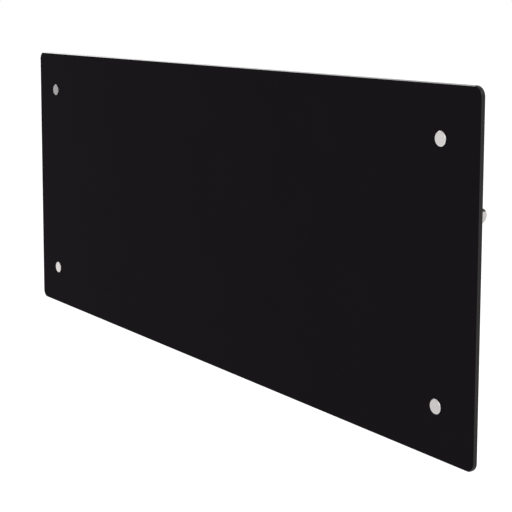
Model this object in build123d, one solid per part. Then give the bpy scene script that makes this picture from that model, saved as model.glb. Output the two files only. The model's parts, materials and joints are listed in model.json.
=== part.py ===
"""Infrared panel heater: glass front on a slim steel casing that hangs on a wall bracket.

Frame: +X to the right seen from the front, +Y into the wall, +Z up, in millimetres.
The origin lies on the wall plane, at the centre of the bracket's four wall screw holes.
"""
from build123d import *
import math
import os

# --- Glass front ------------------------------------------------------------------------------
glass_width = 850.0
glass_height = 340.0
glass_thickness = 4.0
glass_corner_radius = 9.5
front_arris = 0.8
rear_arris = 0.4

# --- Fixings: capped studs that carry the glass -----------------------------------------------
fixing_inset = 49.0             # stud axis to the glass edge, along both edges
cap_diameter = 14.0
cap_thickness = 1.5
cap_chamfer = 0.45
cap_washer_thickness = 0.4
cap_washer_diameter = 13.0
stud_diameter = 6.0
stud_clearance = 0.1            # radial gap round a stud
sleeve_wall = 1.3
isolator_diameter = 16.0
steel_washer_diameter = 12.0
steel_washer_thickness = 1.0
fixing_nut_flats = 10.0
fixing_nut_height = 5.0
stud_overhang = 1.0             # stud end past its nut

# --- Casing: folded sheet behind the glass ----------------------------------------------------
casing_past_fixing_x = 9.0      # casing end beyond the stud axis
casing_past_fixing_z = 14.0     # casing top and bottom beyond the stud axis
casing_depth = 32.0             # front flange to rear flange, over both
gasket_thickness = 1.0
gasket_width = 8.0
casing_sheet = 1.0
casing_bend = 1.0               # inner radius of every casing fold
front_flange = 24.0             # flange widths measured from the casing's outer face
rear_flange = 13.0
wall_gap = 30.0                 # rear cover's outer face to the wall
vent_slot_length = 30.0
vent_slot_width = 5.0
vent_slot_pitch = 42.0
vent_end_margin = 40.0          # plain web at the left of each rail

# --- Rear cover -------------------------------------------------------------------------------
cover_sheet = 1.0
cover_margin = 0.5              # casing edge that shows round the cover
cover_corner_radius = 3.0
cover_vent_height = 26.0
cover_vent_width = 4.0
cover_vent_pitch = 11.0
cover_vents = 44
cover_vent_level = 48.0         # centre of each vent row above and below the middle
bead_end_margin = 105.0         # bead's ends to the casing's ends
bead_width = 9.0
bead_height = 0.8
bead_chamfer = 0.5
bead_level = 24.0
screw_diameter = 4.0
screw_clearance = 0.1
screw_length = 7.0
screw_head_diameter = 7.6
screw_head_height = 2.4
screw_head_crown = 0.9
screw_recess_width = 0.9
screw_recess_length = 4.4
screw_recess_depth = 1.2
screw_edge = 6.5                # screw axis to the casing's outer face
cover_screw_corner = 40.0       # corner screws to the casing's ends
cover_screw_columns = 5

# --- Heating element, front to back -----------------------------------------------------------
film_thickness = 0.3
track_thickness = 0.2
track_width = 5.0
track_pitch = 24.0
track_edge = 18.0               # legs' ends to the element's upper and lower edges
track_margin = 24.0             # first leg to the element's left edge
track_tab_gap = 20.0            # clear of the tabs, at least
spreader_thickness = 1.5
board_thickness = 15.0
element_gap = 5.0               # element edge to the flange's inner edge
tab_width = 12.0
tab_height = 8.0
tab_thickness = 0.6
tab_window_width = 20.0
tab_window_margin = 6.0
cutout_window = 34.0

# --- Retaining bars and partition -------------------------------------------------------------
bar_width = 25.0
bar_sheet = 1.5
bar_foot = 12.0
bar_from_left = 106.0           # left bar's middle to the element's left edge
bar_from_right = 166.0
control_width = 94.0            # partition to the casing's right end
partition_sheet = 0.8
partition_foot = 9.0
partition_gap = 0.2             # partition to the casing's folds, front and back
rivet_diameter = 3.2
rivet_head_diameter = 6.4
rivet_head_height = 1.1
rivet_crown = 0.9
rivet_edge = 6.25               # rivet axis to the edge of a bar's foot or the partition's

# --- Controls on the right-hand end -----------------------------------------------------------
knob_behind_glass = 19.0        # knob axis behind the glass's rear face
knob_level = 54.0
knob_diameter = 13.6
knob_length = 15.7
knob_edge_chamfer = 0.5
knob_skirt_diameter = 18.0
knob_skirt_height = 3.0
knob_nut_gap = 1.2              # knob's rear face past the bush nut
knob_flutes = 24
flute_diameter = 1.2
flute_margin = 4.0              # plain rim at the knob's outer end
marker_chord = 3.6              # marker's flat edge above the knob axis
marker_depth = 3.0
knob_bush_gap = 0.5             # knob's counterbore round and past the bush
spindle_diameter = 6.0
spindle_clearance = 0.05
spindle_in_body = 8.0
spindle_end_gap = 1.0           # free depth behind the spindle in the thermostat
spindle_stop = 1.0              # knob wall between the spindle and the marker
bush_diameter = 10.0
bush_hole_clearance = 0.1
bush_length = 7.0
bush_nut_flats = 14.0
bush_nut_height = 2.4
thermostat_length = 28.0        # away from the end plate
thermostat_width = 23.0         # front to back
thermostat_height = 40.0
thermostat_chamfer = 1.5
thermostat_tab_reach = 8.0
thermostat_tab_offset_y = 6.0
thermostat_tab_offset_z = 9.0

switch_level = 5.0
switch_cut_height = 19.2
switch_cut_width = 12.9
switch_wall = 0.8
switch_fit = 0.1                # housing to its cut-out, each side
bezel_border_y = 1.6
bezel_border_z = 1.4
bezel_thickness = 1.8
bezel_chamfer = 0.7
switch_depth = 17.0
switch_tab_reach = 8.0
switch_tab_offset = 5.0
rocker_gap = 0.5
rocker_thickness = 3.6          # at its middle
rocker_edge_radius = 0.5
rocker_throw_deg = 20.0
rocker_pocket_depth = 8.0
rocker_pin_diameter = 2.0
rocker_pin_clearance = 0.05
rocker_pin_reach = 0.6          # pin length that enters the housing wall
blade_width = 4.8
blade_thickness = 0.8

# --- Wiring -----------------------------------------------------------------------------------
terminal_poles = 3
terminal_pitch = 7.3
terminal_height = 20.0
terminal_reach = 16.0
terminal_above_bottom = 75.0    # block's middle to the casing's underside
terminal_screw_diameter = 3.6
terminal_screw_proud = 0.8
terminal_bore = 3.2
terminal_bore_depth = 4.0
terminal_groove_depth = 3.0     # grooves between the poles
terminal_groove_width = 1.2
terminal_screw_depth = 2.0
terminal_screw_edge = 5.0       # screw axis to the block's upper or lower end
terminal_slot_width = 0.6
lead_diameter = 2.2
lead_bend = 6.0
tight_bend = 4.5
live_lead_rise = 22.0           # straight run above the terminal block
live_lead_reach = 30.0          # its upper corner from the partition
switched_lead_run = 14.0        # straight run at the thermostat's blade
cutout_lead_reach = 24.0        # corner from the partition
cutout_lead_inset = 6.5         # lead axis to the inside of the rear flanges
neutral_lead_inset = 9.5
neutral_lead_rise = 32.0        # crossing level above the terminal block's middle
element_lead_drop = 25.0
earth_lead_rise = 14.0
earth_lead_reach = 14.0         # corner past the ring's tail
tab_lead_offset = 3.0           # lead axis to the middle of its element tab
grommet_diameter = 12.0
grommet_waist = 10.0
grommet_bore = 7.0
grommet_length = 4.0
cutout_diameter = 16.0
cutout_height = 8.0
cutout_flange_diameter = 24.0
cutout_flange_thickness = 1.0
cutout_blade_reach = 7.0
cutout_blade_offset = 6.0
cutout_to_partition = 51.0
cutout_level = 0.0
earth_to_end = 73.0             # stud axis to the casing's right end
earth_diameter = 4.0
earth_stud_length = 12.0
earth_head_height = 2.6
earth_flats = 7.0
earth_nut_height = 3.2
ring_thickness = 0.8
ring_outer_diameter = 8.0
ring_tail_length = 10.0
ring_tail_width = 4.0

# --- Cord gland -------------------------------------------------------------------------------
gland_to_end = 40.0             # gland axis to the casing's right end
gland_thread_diameter = 16.0
gland_hole_clearance = 0.15
gland_thread_below = 8.0
gland_thread_above = 1.0        # thread past the locknut
gland_flats = 20.0
gland_hex_height = 5.0
gland_dome_height = 12.0
gland_dome_round = 4.0
gland_wall = 2.5
gland_cord_bore = 7.0
gland_mouth_gap = 1.0           # dome's mouth round the cord's bore
gland_seal_length = 9.0
locknut_flats = 21.0
locknut_height = 3.0

# --- Hanger rail and wall bracket -------------------------------------------------------------
bracket_sheet = 1.5
bracket_bend = 1.5
upright_width = 36.0
wall_hole_spacing_x = 400.0
wall_hole_spacing_z = 120.0
wall_hole_diameter = 6.5
hook_below_top = 40.0           # hook's shelf to the casing's top
hook_lip_height = 12.0
hook_reach = 26.0               # lip's front face from the wall
hook_corner = 5.0
foot_above_bottom = 25.0        # foot's underside to the casing's underside
foot_lip_height = 15.0
foot_to_cover = 0.3
pad_thickness = 2.2
pad_side_margin = 2.0
crossbar_height = 30.0
crossbar_flange = 6.5
crossbar_past_upright = 8.0
crossbar_rivet_edge = 7.5       # rivet axis to the upright's side and to the crossbar's edge
hanger_sheet = 1.2
hanger_bend = 1.0
hanger_length = 476.0
hanger_channel = 6.8            # free width that takes the hook's lip
hanger_plate_drop = 32.0
hanger_lip_drop = 10.0
hanger_rivets = 6
hanger_rivet_end = 23.0         # end rivets to the rail's ends
hanger_rivet_drop = 20.0

# --- Sizes that follow ------------------------------------------------------------------------
half_pane_x = glass_width / 2
half_pane_z = glass_height / 2
fixing_x = half_pane_x - fixing_inset
fixing_z = half_pane_z - fixing_inset
casing_x = fixing_x + casing_past_fixing_x
casing_z = fixing_z + casing_past_fixing_z
inner_x = casing_x - casing_sheet
inner_z = casing_z - casing_sheet

cover_back = -wall_gap
cover_front = cover_back - cover_sheet
casing_back = cover_front
casing_front = casing_back - casing_depth
cavity_front = casing_front + casing_sheet
cavity_back = casing_back - casing_sheet
glass_back = casing_front - gasket_thickness
glass_front_y = glass_back - glass_thickness
cap_seat = glass_front_y - cap_washer_thickness
cap_face = cap_seat - cap_thickness

film_front = glass_back
track_front = film_front + film_thickness
rear_film_front = track_front + track_thickness
spreader_front = rear_film_front + film_thickness
board_front = spreader_front + spreader_thickness
board_back = board_front + board_thickness
bar_back = board_back + bar_sheet
bar_rivet_y = bar_back + bar_foot / 2
middle_y = (cavity_front + cavity_back) / 2

partition_x = casing_x - control_width
rail_vents = int((partition_x + casing_x - vent_end_margin) // vent_slot_pitch)
partition_front = cavity_front + casing_bend + partition_gap
partition_back = cavity_back - casing_bend - partition_gap
partition_face = partition_x + partition_sheet
element_left = -(casing_x - front_flange - element_gap)
element_right = partition_x - element_gap
element_half_z = casing_z - front_flange - element_gap
element_middle = (element_left + element_right) / 2
bar_places = (element_left + bar_from_left, element_right - bar_from_right)
track_z = element_half_z - track_edge
track_left = element_left + track_margin
tab_x = element_right - tab_window_width / 2 - tab_window_margin
track_room = tab_x - tab_width / 2 - track_tab_gap - track_width / 2 - track_left
track_pairs = int((track_room / track_pitch + 1) // 2)
cutout_x = partition_x - cutout_to_partition
earth_x = casing_x - earth_to_end
gland_x = casing_x - gland_to_end
terminal_level = -casing_z + terminal_above_bottom
tab_z = -track_z
upper_tab_z = tab_z + track_pitch

knob_y = glass_back + knob_behind_glass
knob_back = casing_x + bush_nut_height + knob_nut_gap
knob_end = knob_back + knob_length
bush_end = casing_x + bush_length
thermostat_x = inner_x - thermostat_length
switch_x = casing_x - switch_depth
rocker_axis_x = casing_x + bezel_thickness - rocker_thickness / 2
stud_bore = stud_diameter + 2 * stud_clearance
sleeve_outer = stud_bore + 2 * sleeve_wall
glass_hole = sleeve_outer + 2 * stud_clearance
screw_hole = screw_diameter + 2 * screw_clearance
spindle_bore = spindle_diameter + 2 * spindle_clearance
bush_hole = bush_diameter + 2 * bush_hole_clearance
gland_hole = gland_thread_diameter + 2 * gland_hole_clearance
gland_bore = gland_thread_diameter - 2 * gland_wall
gland_hex_bottom = -casing_z - gland_hex_height
gland_bottom = gland_hex_bottom - gland_dome_height
gland_thread_low = gland_hex_bottom - gland_thread_below
gland_thread_high = -inner_z + locknut_height + gland_thread_above

terminal_x = partition_face + terminal_reach / 2
terminal_face = partition_face + terminal_reach
terminal_top = terminal_level + terminal_height / 2
terminal_bottom = terminal_level - terminal_height / 2
cutout_lead_y = cavity_back - cutout_lead_inset
neutral_lead_y = cavity_back - neutral_lead_inset
neutral_lead_z = terminal_level + neutral_lead_rise
cutout_blade_end = board_front + cutout_flange_thickness + cutout_height + cutout_blade_reach
ring_low = -inner_z + earth_nut_height
ring_high = ring_low + ring_thickness

hook_shelf_level = casing_z - hook_below_top
foot_level = -casing_z + foot_above_bottom
hook_top = hook_shelf_level + hook_lip_height
hook_lip_y = -hook_reach + bracket_sheet / 2
hanger_plate_y = cover_back + hanger_sheet / 2
hanger_top = hook_top + hanger_sheet / 2
hanger_lip_y = cover_back + hanger_sheet + hanger_channel + hanger_sheet / 2
hanger_rivet_z = hanger_top - hanger_rivet_drop
pad_front = cover_back + foot_to_cover
pad_back = pad_front + pad_thickness
foot_lip_y = pad_back + bracket_sheet / 2
upright_x = wall_hole_spacing_x / 2
crossbar_y = -bracket_sheet * 1.5

FIXINGS = [(x, z) for x in (-fixing_x, fixing_x) for z in (-fixing_z, fixing_z)]
SIDES = (-1, 1)
screw_z = casing_z - screw_edge
screw_x = casing_x - screw_edge
cover_screw_span = casing_x - cover_screw_corner
bead_length = 2 * (casing_x - bead_end_margin)
hanger_rivet_span = hanger_length - 2 * hanger_rivet_end
COVER_SCREWS = [
    (-cover_screw_span + column * 2 * cover_screw_span / (cover_screw_columns - 1), side * screw_z)
    for column in range(cover_screw_columns)
    for side in SIDES
] + [(side * screw_x, 0.0) for side in SIDES]
HANGER_RIVETS = [
    (-hanger_rivet_span / 2 + place * hanger_rivet_span / (hanger_rivets - 1), hanger_rivet_z)
    for place in range(hanger_rivets)
]

AXIS_TURN = {"x": Rot(0, 90, 0), "y": Rot(-90, 0, 0), "z": Rot(0, 0, 0)}
AXIS_VECTOR = {"x": (1, 0, 0), "y": (0, 1, 0), "z": (0, 0, 1)}


# --- Shape helpers ----------------------------------------------------------------------------
def block(x_span, y_span, z_span):
    """Rectangular block between the ends given on each axis."""
    spans = (x_span, y_span, z_span)
    centre = [(low + high) / 2 for low, high in spans]
    size = [high - low for low, high in spans]
    return Pos(*centre) * Box(*size)


def along(axis, shape, low, high, across):
    """Place a shape that is centred on its own z axis between two ends on an axis."""
    place = list(across)
    place.insert("xyz".index(axis), (low + high) / 2)
    return Pos(*place) * AXIS_TURN[axis] * shape


def rod(axis, diameter, low, high, across):
    """Round bar along an axis; across is its place on the other two axes."""
    return along(axis, Cylinder(diameter / 2, high - low), low, high, across)


def ring(axis, outer, bore, low, high, across):
    """Washer or tube along an axis."""
    return rod(axis, outer, low, high, across) - rod(axis, bore, low, high, across)


def hexagon(axis, flats, low, high, across):
    """Hexagonal bar along an axis."""
    outline = RegularPolygon(flats / 2, 6, major_radius=False)
    length = high - low
    bar = Pos(0, 0, -length / 2) * extrude(outline, length)
    return along(axis, bar, low, high, across)


def plate(outline, front, back):
    """Flat plate that faces the room: its outline is drawn in x and z."""
    return Pos(0, back, 0) * extrude(Plane.XZ * outline, back - front)


def fold_along_x(points, sheet, bend, x_span):
    """Folded sheet carried along x; points are its mid-plane in y and z."""
    line = FilletPolyline(*points, radius=bend + sheet / 2)
    section = Plane.YZ * trace(line, line_width=sheet)
    return Pos(x_span[0], 0, 0) * extrude(section, x_span[1] - x_span[0])


def fold_along_z(points, sheet, bend, z_span):
    """Folded sheet carried along z; points are its mid-plane in x and y."""
    line = FilletPolyline(*points, radius=bend + sheet / 2)
    section = trace(line, line_width=sheet)
    return Pos(0, 0, z_span[0]) * extrude(section, z_span[1] - z_span[0])


def lead(points, radii):
    """Round insulated lead along straight runs joined by tangent arcs."""
    path = FilletPolyline(*points, radius=radii)
    return sweep(Plane(origin=path @ 0, z_dir=path % 0) * Circle(lead_diameter / 2), path)


def group(solids):
    """Identical loose pieces kept together under one name."""
    return Compound(children=list(solids))


def at_fixings(make):
    """One copy of a piece at each of the four fixings."""
    return group(make(x, z) for x, z in FIXINGS)


def rivet(axis, low, high, across, head_side):
    """Blind rivet: shank between two ends, and a domed head past one of them."""
    shank = rod(axis, rivet_diameter, low, high, across)
    if head_side > 0:
        head_low, head_high = high, high + rivet_head_height
    else:
        head_low, head_high = low - rivet_head_height, low
    head = rod(axis, rivet_head_diameter, head_low, head_high, across)
    rims = head.edges().filter_by(GeomType.CIRCLE).group_by(Axis((0, 0, 0), AXIS_VECTOR[axis]))
    rim = rims[-1] if head_side > 0 else rims[0]
    return shank + fillet(rim, rivet_crown)


# --- Glass and its fixings --------------------------------------------------------------------
def glass_front():
    """Toughened pane with polished arrises and four sleeved holes."""
    outline = RectangleRounded(glass_width, glass_height, glass_corner_radius)
    pane = plate(outline, glass_front_y, glass_back)
    faces = pane.faces().sort_by(Axis.Y)
    pane = chamfer(faces[0].outer_wire().edges(), front_arris)
    faces = pane.faces().sort_by(Axis.Y)
    pane = chamfer(faces[-1].outer_wire().edges(), rear_arris)
    for x, z in FIXINGS:
        pane -= rod("y", glass_hole, glass_front_y, glass_back, (x, z))
    return pane


def fixing_cap(x, z):
    """Round cap with a chamfered rim, and its stud."""
    head = rod("y", cap_diameter, cap_face, cap_seat, (x, z))
    rim = head.edges().filter_by(GeomType.CIRCLE).sort_by(Axis.Y)[0]
    head = chamfer(rim, cap_chamfer)
    stud_end = cavity_front + steel_washer_thickness + fixing_nut_height + stud_overhang
    return head + rod("y", stud_diameter, cap_seat, stud_end, (x, z))


def cap_washer(x, z):
    return ring("y", cap_washer_diameter, stud_bore, cap_seat, glass_front_y, (x, z))


def glass_sleeve(x, z):
    return ring("y", sleeve_outer, stud_bore, glass_front_y, glass_back, (x, z))


def isolator_washer(x, z):
    return ring("y", isolator_diameter, stud_bore, glass_back, casing_front, (x, z))


def steel_washer(x, z):
    back = cavity_front + steel_washer_thickness
    return ring("y", steel_washer_diameter, stud_bore, cavity_front, back, (x, z))


def fixing_nut(x, z):
    front = cavity_front + steel_washer_thickness
    back = front + fixing_nut_height
    body = hexagon("y", fixing_nut_flats, front, back, (x, z))
    return body - rod("y", stud_bore, front, back, (x, z))


def gasket_strips():
    """Four strips on the front flange, clear of the isolator washers."""
    clear = isolator_diameter / 2 + gasket_width / 2
    y_span = (glass_back, casing_front)
    long_x = fixing_x - clear
    long_z = casing_z - front_flange / 2
    short_z = fixing_z - clear
    short_x = casing_x - front_flange / 2
    half = gasket_width / 2
    strips = []
    for side in SIDES:
        z = side * long_z
        x = side * short_x
        strips.append(block((-long_x, long_x), y_span, (z - half, z + half)))
        strips.append(block((x - half, x + half), y_span, (-short_z, short_z)))
    return group(strips)


# --- Casing -----------------------------------------------------------------------------------
def casing_section(outer, side):
    """Mid-plane of a casing channel, as (distance outwards, y) points: flange, web, flange."""
    web = side * (outer - casing_sheet / 2)
    front_y = casing_front + casing_sheet / 2
    back_y = casing_back - casing_sheet / 2
    return [
        (side * (outer - front_flange), front_y),
        (web, front_y),
        (web, back_y),
        (side * (outer - rear_flange), back_y),
    ]


def rail(side):
    """Top or bottom channel of the casing, with its air slots and fixing holes."""
    points = [(y, z) for z, y in casing_section(casing_z, side)]
    channel = fold_along_x(points, casing_sheet, casing_bend, (-casing_x, casing_x))
    web = sorted((side * inner_z, side * casing_z))
    slot = SlotOverall(vent_slot_length, vent_slot_width)
    first = partition_x - vent_slot_pitch * rail_vents
    for number in range(rail_vents):
        x = first + vent_slot_pitch * (number + 0.5)
        cutter = Pos(x, middle_y, web[0]) * extrude(slot, casing_sheet)
        channel -= cutter
    for x in (-fixing_x, fixing_x):
        channel -= rod("y", stud_bore, casing_front, cavity_front, (x, side * fixing_z))
    for x, z in COVER_SCREWS:
        if z * side > 0:
            channel -= rod("y", screw_hole, cavity_back, casing_back, (x, z))
    for x, y in rail_rivets():
        channel -= rod("z", rivet_diameter, web[0], web[1], (x, y))
    return channel


def rail_rivets():
    """Rivets through each rail's web: two in each bar's foot and two in the partition's foot."""
    across = bar_width / 2 - rivet_edge
    places = [(x + shift * across, bar_rivet_y) for x in bar_places for shift in SIDES]
    foot_x = partition_face + partition_foot / 2
    return places + [
        (foot_x, partition_front + rivet_edge),
        (foot_x, partition_back - rivet_edge),
    ]


def casing_top_rail():
    return rail(1)


def casing_bottom_rail():
    """Bottom channel, which also takes the cord gland and the earth stud."""
    channel = rail(-1)
    web = (-casing_z, -inner_z)
    channel -= rod("z", gland_hole, *web, (gland_x, middle_y))
    return channel - rod("z", earth_diameter, *web, (earth_x, middle_y))


def end_plate(side):
    """End channel between the rails: its flanges stop at the rails' flanges."""
    points = casing_section(casing_x, side)
    channel = fold_along_z(points, casing_sheet, casing_bend, (-inner_z, inner_z))
    for end in SIDES:
        inside = end * (casing_z - front_flange)
        z_span = sorted((inside, end * casing_z))
        x_span = sorted((side * (casing_x - front_flange), side * casing_x))
        channel -= block(x_span, (casing_front, cavity_front), z_span)
        inside = end * (casing_z - rear_flange)
        z_span = sorted((inside, end * casing_z))
        x_span = sorted((side * (casing_x - rear_flange), side * casing_x))
        channel -= block(x_span, (cavity_back, casing_back), z_span)
        corner_x = sorted((side * (inner_x - casing_bend), side * casing_x))
        corner_z = sorted((end * (inner_z - casing_bend), end * casing_z))
        channel -= block(corner_x, (casing_front, cavity_front + casing_bend), corner_z)
        channel -= block(corner_x, (cavity_back - casing_bend, casing_back), corner_z)
    return channel - rod("y", screw_hole, cavity_back, casing_back, (side * screw_x, 0.0))


def casing_left_end():
    return end_plate(-1)


def casing_right_end():
    """Right end with the round bush hole and the switch's rectangular cut-out."""
    channel = end_plate(1)
    channel -= rod("x", bush_hole, inner_x, casing_x, (knob_y, knob_level))
    half_y = switch_cut_width / 2
    half_z = switch_cut_height / 2
    y_span = (knob_y - half_y, knob_y + half_y)
    z_span = (switch_level - half_z, switch_level + half_z)
    return channel - block((inner_x, casing_x), y_span, z_span)


# --- Rear cover -------------------------------------------------------------------------------
def rear_cover():
    """Flat cover with two rows of vents, two pressed beads, and screw and rivet holes."""
    width = 2 * (casing_x - cover_margin)
    height = 2 * (casing_z - cover_margin)
    outline = RectangleRounded(width, height, cover_corner_radius)
    vent = SlotOverall(cover_vent_height, cover_vent_width, rotation=90)
    for side in SIDES:
        for place in GridLocations(cover_vent_pitch, 0, cover_vents, 1):
            outline -= Pos(element_middle, side * cover_vent_level) * place * vent
    cover = plate(outline, cover_front, cover_back)
    for side in SIDES:
        bead = Pos(0, side * bead_level) * SlotOverall(bead_length, bead_width)
        raised = plate(bead, cover_back, cover_back + bead_height)
        rim = raised.faces().sort_by(Axis.Y)[-1].outer_wire().edges()
        cover += chamfer(rim, bead_chamfer)
    for x, z in COVER_SCREWS:
        cover -= rod("y", screw_hole, cover_front, cover_back, (x, z))
    for x, z in HANGER_RIVETS:
        cover -= rod("y", rivet_diameter, cover_front, cover_back, (x, z))
    return cover


def cover_screw(x, z):
    """Pan-head screw with a cross recess."""
    back = cover_back + screw_head_height
    head = rod("y", screw_head_diameter, cover_back, back, (x, z))
    rim = head.edges().filter_by(GeomType.CIRCLE).sort_by(Axis.Y)[-1]
    head = fillet(rim, screw_head_crown)
    recess_y = (back - screw_recess_depth, back)
    half_long = screw_recess_length / 2
    half_wide = screw_recess_width / 2
    head -= block((x - half_long, x + half_long), recess_y, (z - half_wide, z + half_wide))
    head -= block((x - half_wide, x + half_wide), recess_y, (z - half_long, z + half_long))
    return head + rod("y", screw_diameter, cover_back - screw_length, cover_back, (x, z))


def cover_screws():
    return group(cover_screw(x, z) for x, z in COVER_SCREWS)


# --- Heating element --------------------------------------------------------------------------
def element_sheet(front, thickness, windows):
    """Flat layer of the element stack, with its rectangular windows cut out."""
    y_span = (front, front + thickness)
    sheet = block((element_left, element_right), y_span, (-element_half_z, element_half_z))
    for x_span, z_span in windows:
        sheet -= block(x_span, y_span, z_span)
    return sheet


def tab_window():
    """Window over the two element tabs."""
    half = tab_window_width / 2
    z_low = tab_z - tab_height / 2 - tab_window_margin
    z_high = upper_tab_z + tab_height / 2 + tab_window_margin
    return (tab_x - half, tab_x + half), (z_low, z_high)


def cutout_window_span():
    """Window in the board round the thermal cut-out."""
    half = cutout_window / 2
    return (cutout_x - half, cutout_x + half), (cutout_level - half, cutout_level + half)


def element_front_film():
    return element_sheet(film_front, film_thickness, [])


def element_rear_film():
    return element_sheet(rear_film_front, film_thickness, [tab_window()])


def heat_spreader():
    return element_sheet(spreader_front, spreader_thickness, [tab_window()])


def insulation_board():
    windows = [tab_window(), cutout_window_span()]
    return element_sheet(board_front, board_thickness, windows)


def heating_track():
    """Serpentine strip whose two ends run on to the tabs at the lower right."""
    end_x = tab_x + tab_width / 2
    points = [(end_x, tab_z)]
    for pair in range(track_pairs):
        up_x = track_left + 2 * track_pitch * pair
        down_x = up_x + track_pitch
        low = tab_z if pair == 0 else upper_tab_z
        points += [(up_x, low), (up_x, track_z), (down_x, track_z), (down_x, upper_tab_z)]
    points.append((end_x, upper_tab_z))
    strip = trace(Polyline(*points), line_width=track_width)
    return plate(strip, track_front, rear_film_front)


def element_tabs():
    """Two flat tabs on the track's ends, reached through the window."""
    x_span = (tab_x - tab_width / 2, tab_x + tab_width / 2)
    y_span = (rear_film_front, rear_film_front + tab_thickness)
    half = tab_height / 2
    return group(block(x_span, y_span, (z - half, z + half)) for z in (tab_z, upper_tab_z))


# --- Bars and partition inside the casing -----------------------------------------------------
def retaining_bars():
    """Bars across the insulation board, with a riveted foot on each rail."""
    mid_y = board_back + bar_sheet / 2
    foot_z = inner_z - bar_sheet / 2
    foot_y = bar_back + bar_foot
    points = [(foot_y, foot_z), (mid_y, foot_z), (mid_y, -foot_z), (foot_y, -foot_z)]
    bars = []
    for x in bar_places:
        bar = fold_along_x(points, bar_sheet, bar_sheet, (x - bar_width / 2, x + bar_width / 2))
        for place_x, place_y in rail_rivets():
            bar -= rod("z", rivet_diameter, -inner_z, inner_z, (place_x, place_y))
        bars.append(bar)
    return group(bars)


def partition():
    """Sheet wall between the hot space and the controls, with two grommet holes."""
    web = partition_x + partition_sheet / 2
    foot = partition_face + partition_foot
    z = inner_z - partition_sheet / 2
    points = [(foot, z), (web, z), (web, -z), (foot, -z)]
    line = FilletPolyline(*points, radius=casing_bend + partition_sheet / 2)
    outline = trace(line, line_width=partition_sheet)
    wall = plate(outline, partition_front, partition_back)
    for place_y, place_z in grommet_places():
        wall -= rod("x", grommet_waist, partition_x, partition_face, (place_y, place_z))
    for place_x, place_y in rail_rivets():
        wall -= rod("z", rivet_diameter, -inner_z, inner_z, (place_x, place_y))
    return wall


def casing_rivets():
    """Rivets that hold the bars and the partition, with their heads outside the rails."""
    rivets = []
    for x, y in rail_rivets():
        sheet = bar_sheet if y == bar_rivet_y else partition_sheet
        rivets.append(rivet("z", inner_z - sheet, casing_z, (x, y), 1))
        rivets.append(rivet("z", -casing_z, -inner_z + sheet, (x, y), -1))
    return group(rivets)


def grommet_places():
    """Grommet centres in the partition as (y, z): cut-out leads, then the neutral lead."""
    return [(cutout_lead_y, cutout_level), (neutral_lead_y, neutral_lead_z)]


def lead_grommets():
    """Rubber grommets: two flanges and a waist that fills the partition's hole."""
    grommets = []
    middle = partition_x + partition_sheet / 2
    for place in grommet_places():
        waist = rod("x", grommet_waist, partition_x, partition_face, place)
        half = grommet_length / 2
        left = rod("x", grommet_diameter, middle - half, partition_x, place)
        right = rod("x", grommet_diameter, partition_face, middle + half, place)
        bore = rod("x", grommet_bore, middle - half, middle + half, place)
        grommets.append(waist + left + right - bore)
    return group(grommets)


# --- Thermostat, its bush and its knob --------------------------------------------------------
def thermostat_body():
    """Moulded thermostat behind the end plate, with two blade tabs."""
    half_y = thermostat_width / 2
    half_z = thermostat_height / 2
    y_span = (knob_y - half_y, knob_y + half_y)
    z_span = (knob_level - half_z, knob_level + half_z)
    body = block((thermostat_x, inner_x), y_span, z_span)
    body = chamfer(body.edges().filter_by(Axis.X), thermostat_chamfer)
    socket = inner_x - spindle_in_body - spindle_end_gap
    body -= rod("x", spindle_bore, socket, inner_x, (knob_y, knob_level))
    for y, z in thermostat_tabs():
        half_wide = blade_width / 2
        half_thin = blade_thickness / 2
        reach = (thermostat_x - thermostat_tab_reach, thermostat_x)
        body += block(reach, (y - half_thin, y + half_thin), (z - half_wide, z + half_wide))
    return body


def thermostat_tabs():
    """Blade centres on the thermostat as (y, z): switched lead, then cut-out lead."""
    return [
        (knob_y - thermostat_tab_offset_y, knob_level - thermostat_tab_offset_z),
        (knob_y + thermostat_tab_offset_y, knob_level + thermostat_tab_offset_z),
    ]


def thermostat_bush():
    """Threaded bush through the end plate, bored for the spindle."""
    return ring("x", bush_diameter, spindle_bore, inner_x, bush_end, (knob_y, knob_level))


def bush_nut():
    end = casing_x + bush_nut_height
    body = hexagon("x", bush_nut_flats, casing_x, end, (knob_y, knob_level))
    return body - rod("x", bush_diameter, casing_x, end, (knob_y, knob_level))


def spindle():
    """Round spindle from the thermostat into the knob."""
    end = knob_end - marker_depth - spindle_stop
    return rod("x", spindle_diameter, inner_x - spindle_in_body, end, (knob_y, knob_level))


def marker_segment():
    """Segment at the top of the knob's end, above the marker's flat edge."""
    span = (knob_end - marker_depth, knob_end)
    disc = rod("x", knob_diameter, *span, (knob_y, knob_level))
    y_span = (knob_y - knob_diameter, knob_y + knob_diameter)
    z_span = (knob_level + marker_chord, knob_level + knob_diameter)
    return disc & block(span, y_span, z_span)


def knob():
    """Round push-on knob: skirt, fluted grip, and a seat for the dark marker."""
    place = (knob_y, knob_level)
    body = rod("x", knob_diameter, knob_back, knob_end, place)
    body = chamfer(body.edges().filter_by(GeomType.CIRCLE).sort_by(Axis.X)[-1], knob_edge_chamfer)
    skirt = rod("x", knob_skirt_diameter, knob_back, knob_back + knob_skirt_height, place)
    skirt = chamfer(skirt.edges().filter_by(GeomType.CIRCLE).sort_by(Axis.X)[-1], knob_edge_chamfer)
    body += skirt
    grip_end = knob_end - flute_margin
    for number in range(knob_flutes):
        angle = 2 * math.pi * number / knob_flutes
        y = knob_y + knob_diameter / 2 * math.cos(angle)
        z = knob_level + knob_diameter / 2 * math.sin(angle)
        body -= rod("x", flute_diameter, knob_back + knob_skirt_height, grip_end, (y, z))
    counterbore = bush_diameter + 2 * knob_bush_gap
    body -= rod("x", counterbore, knob_back, bush_end + knob_bush_gap, place)
    body -= rod("x", spindle_diameter, knob_back, knob_end - marker_depth - spindle_stop, place)
    return body - marker_segment()


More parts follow.
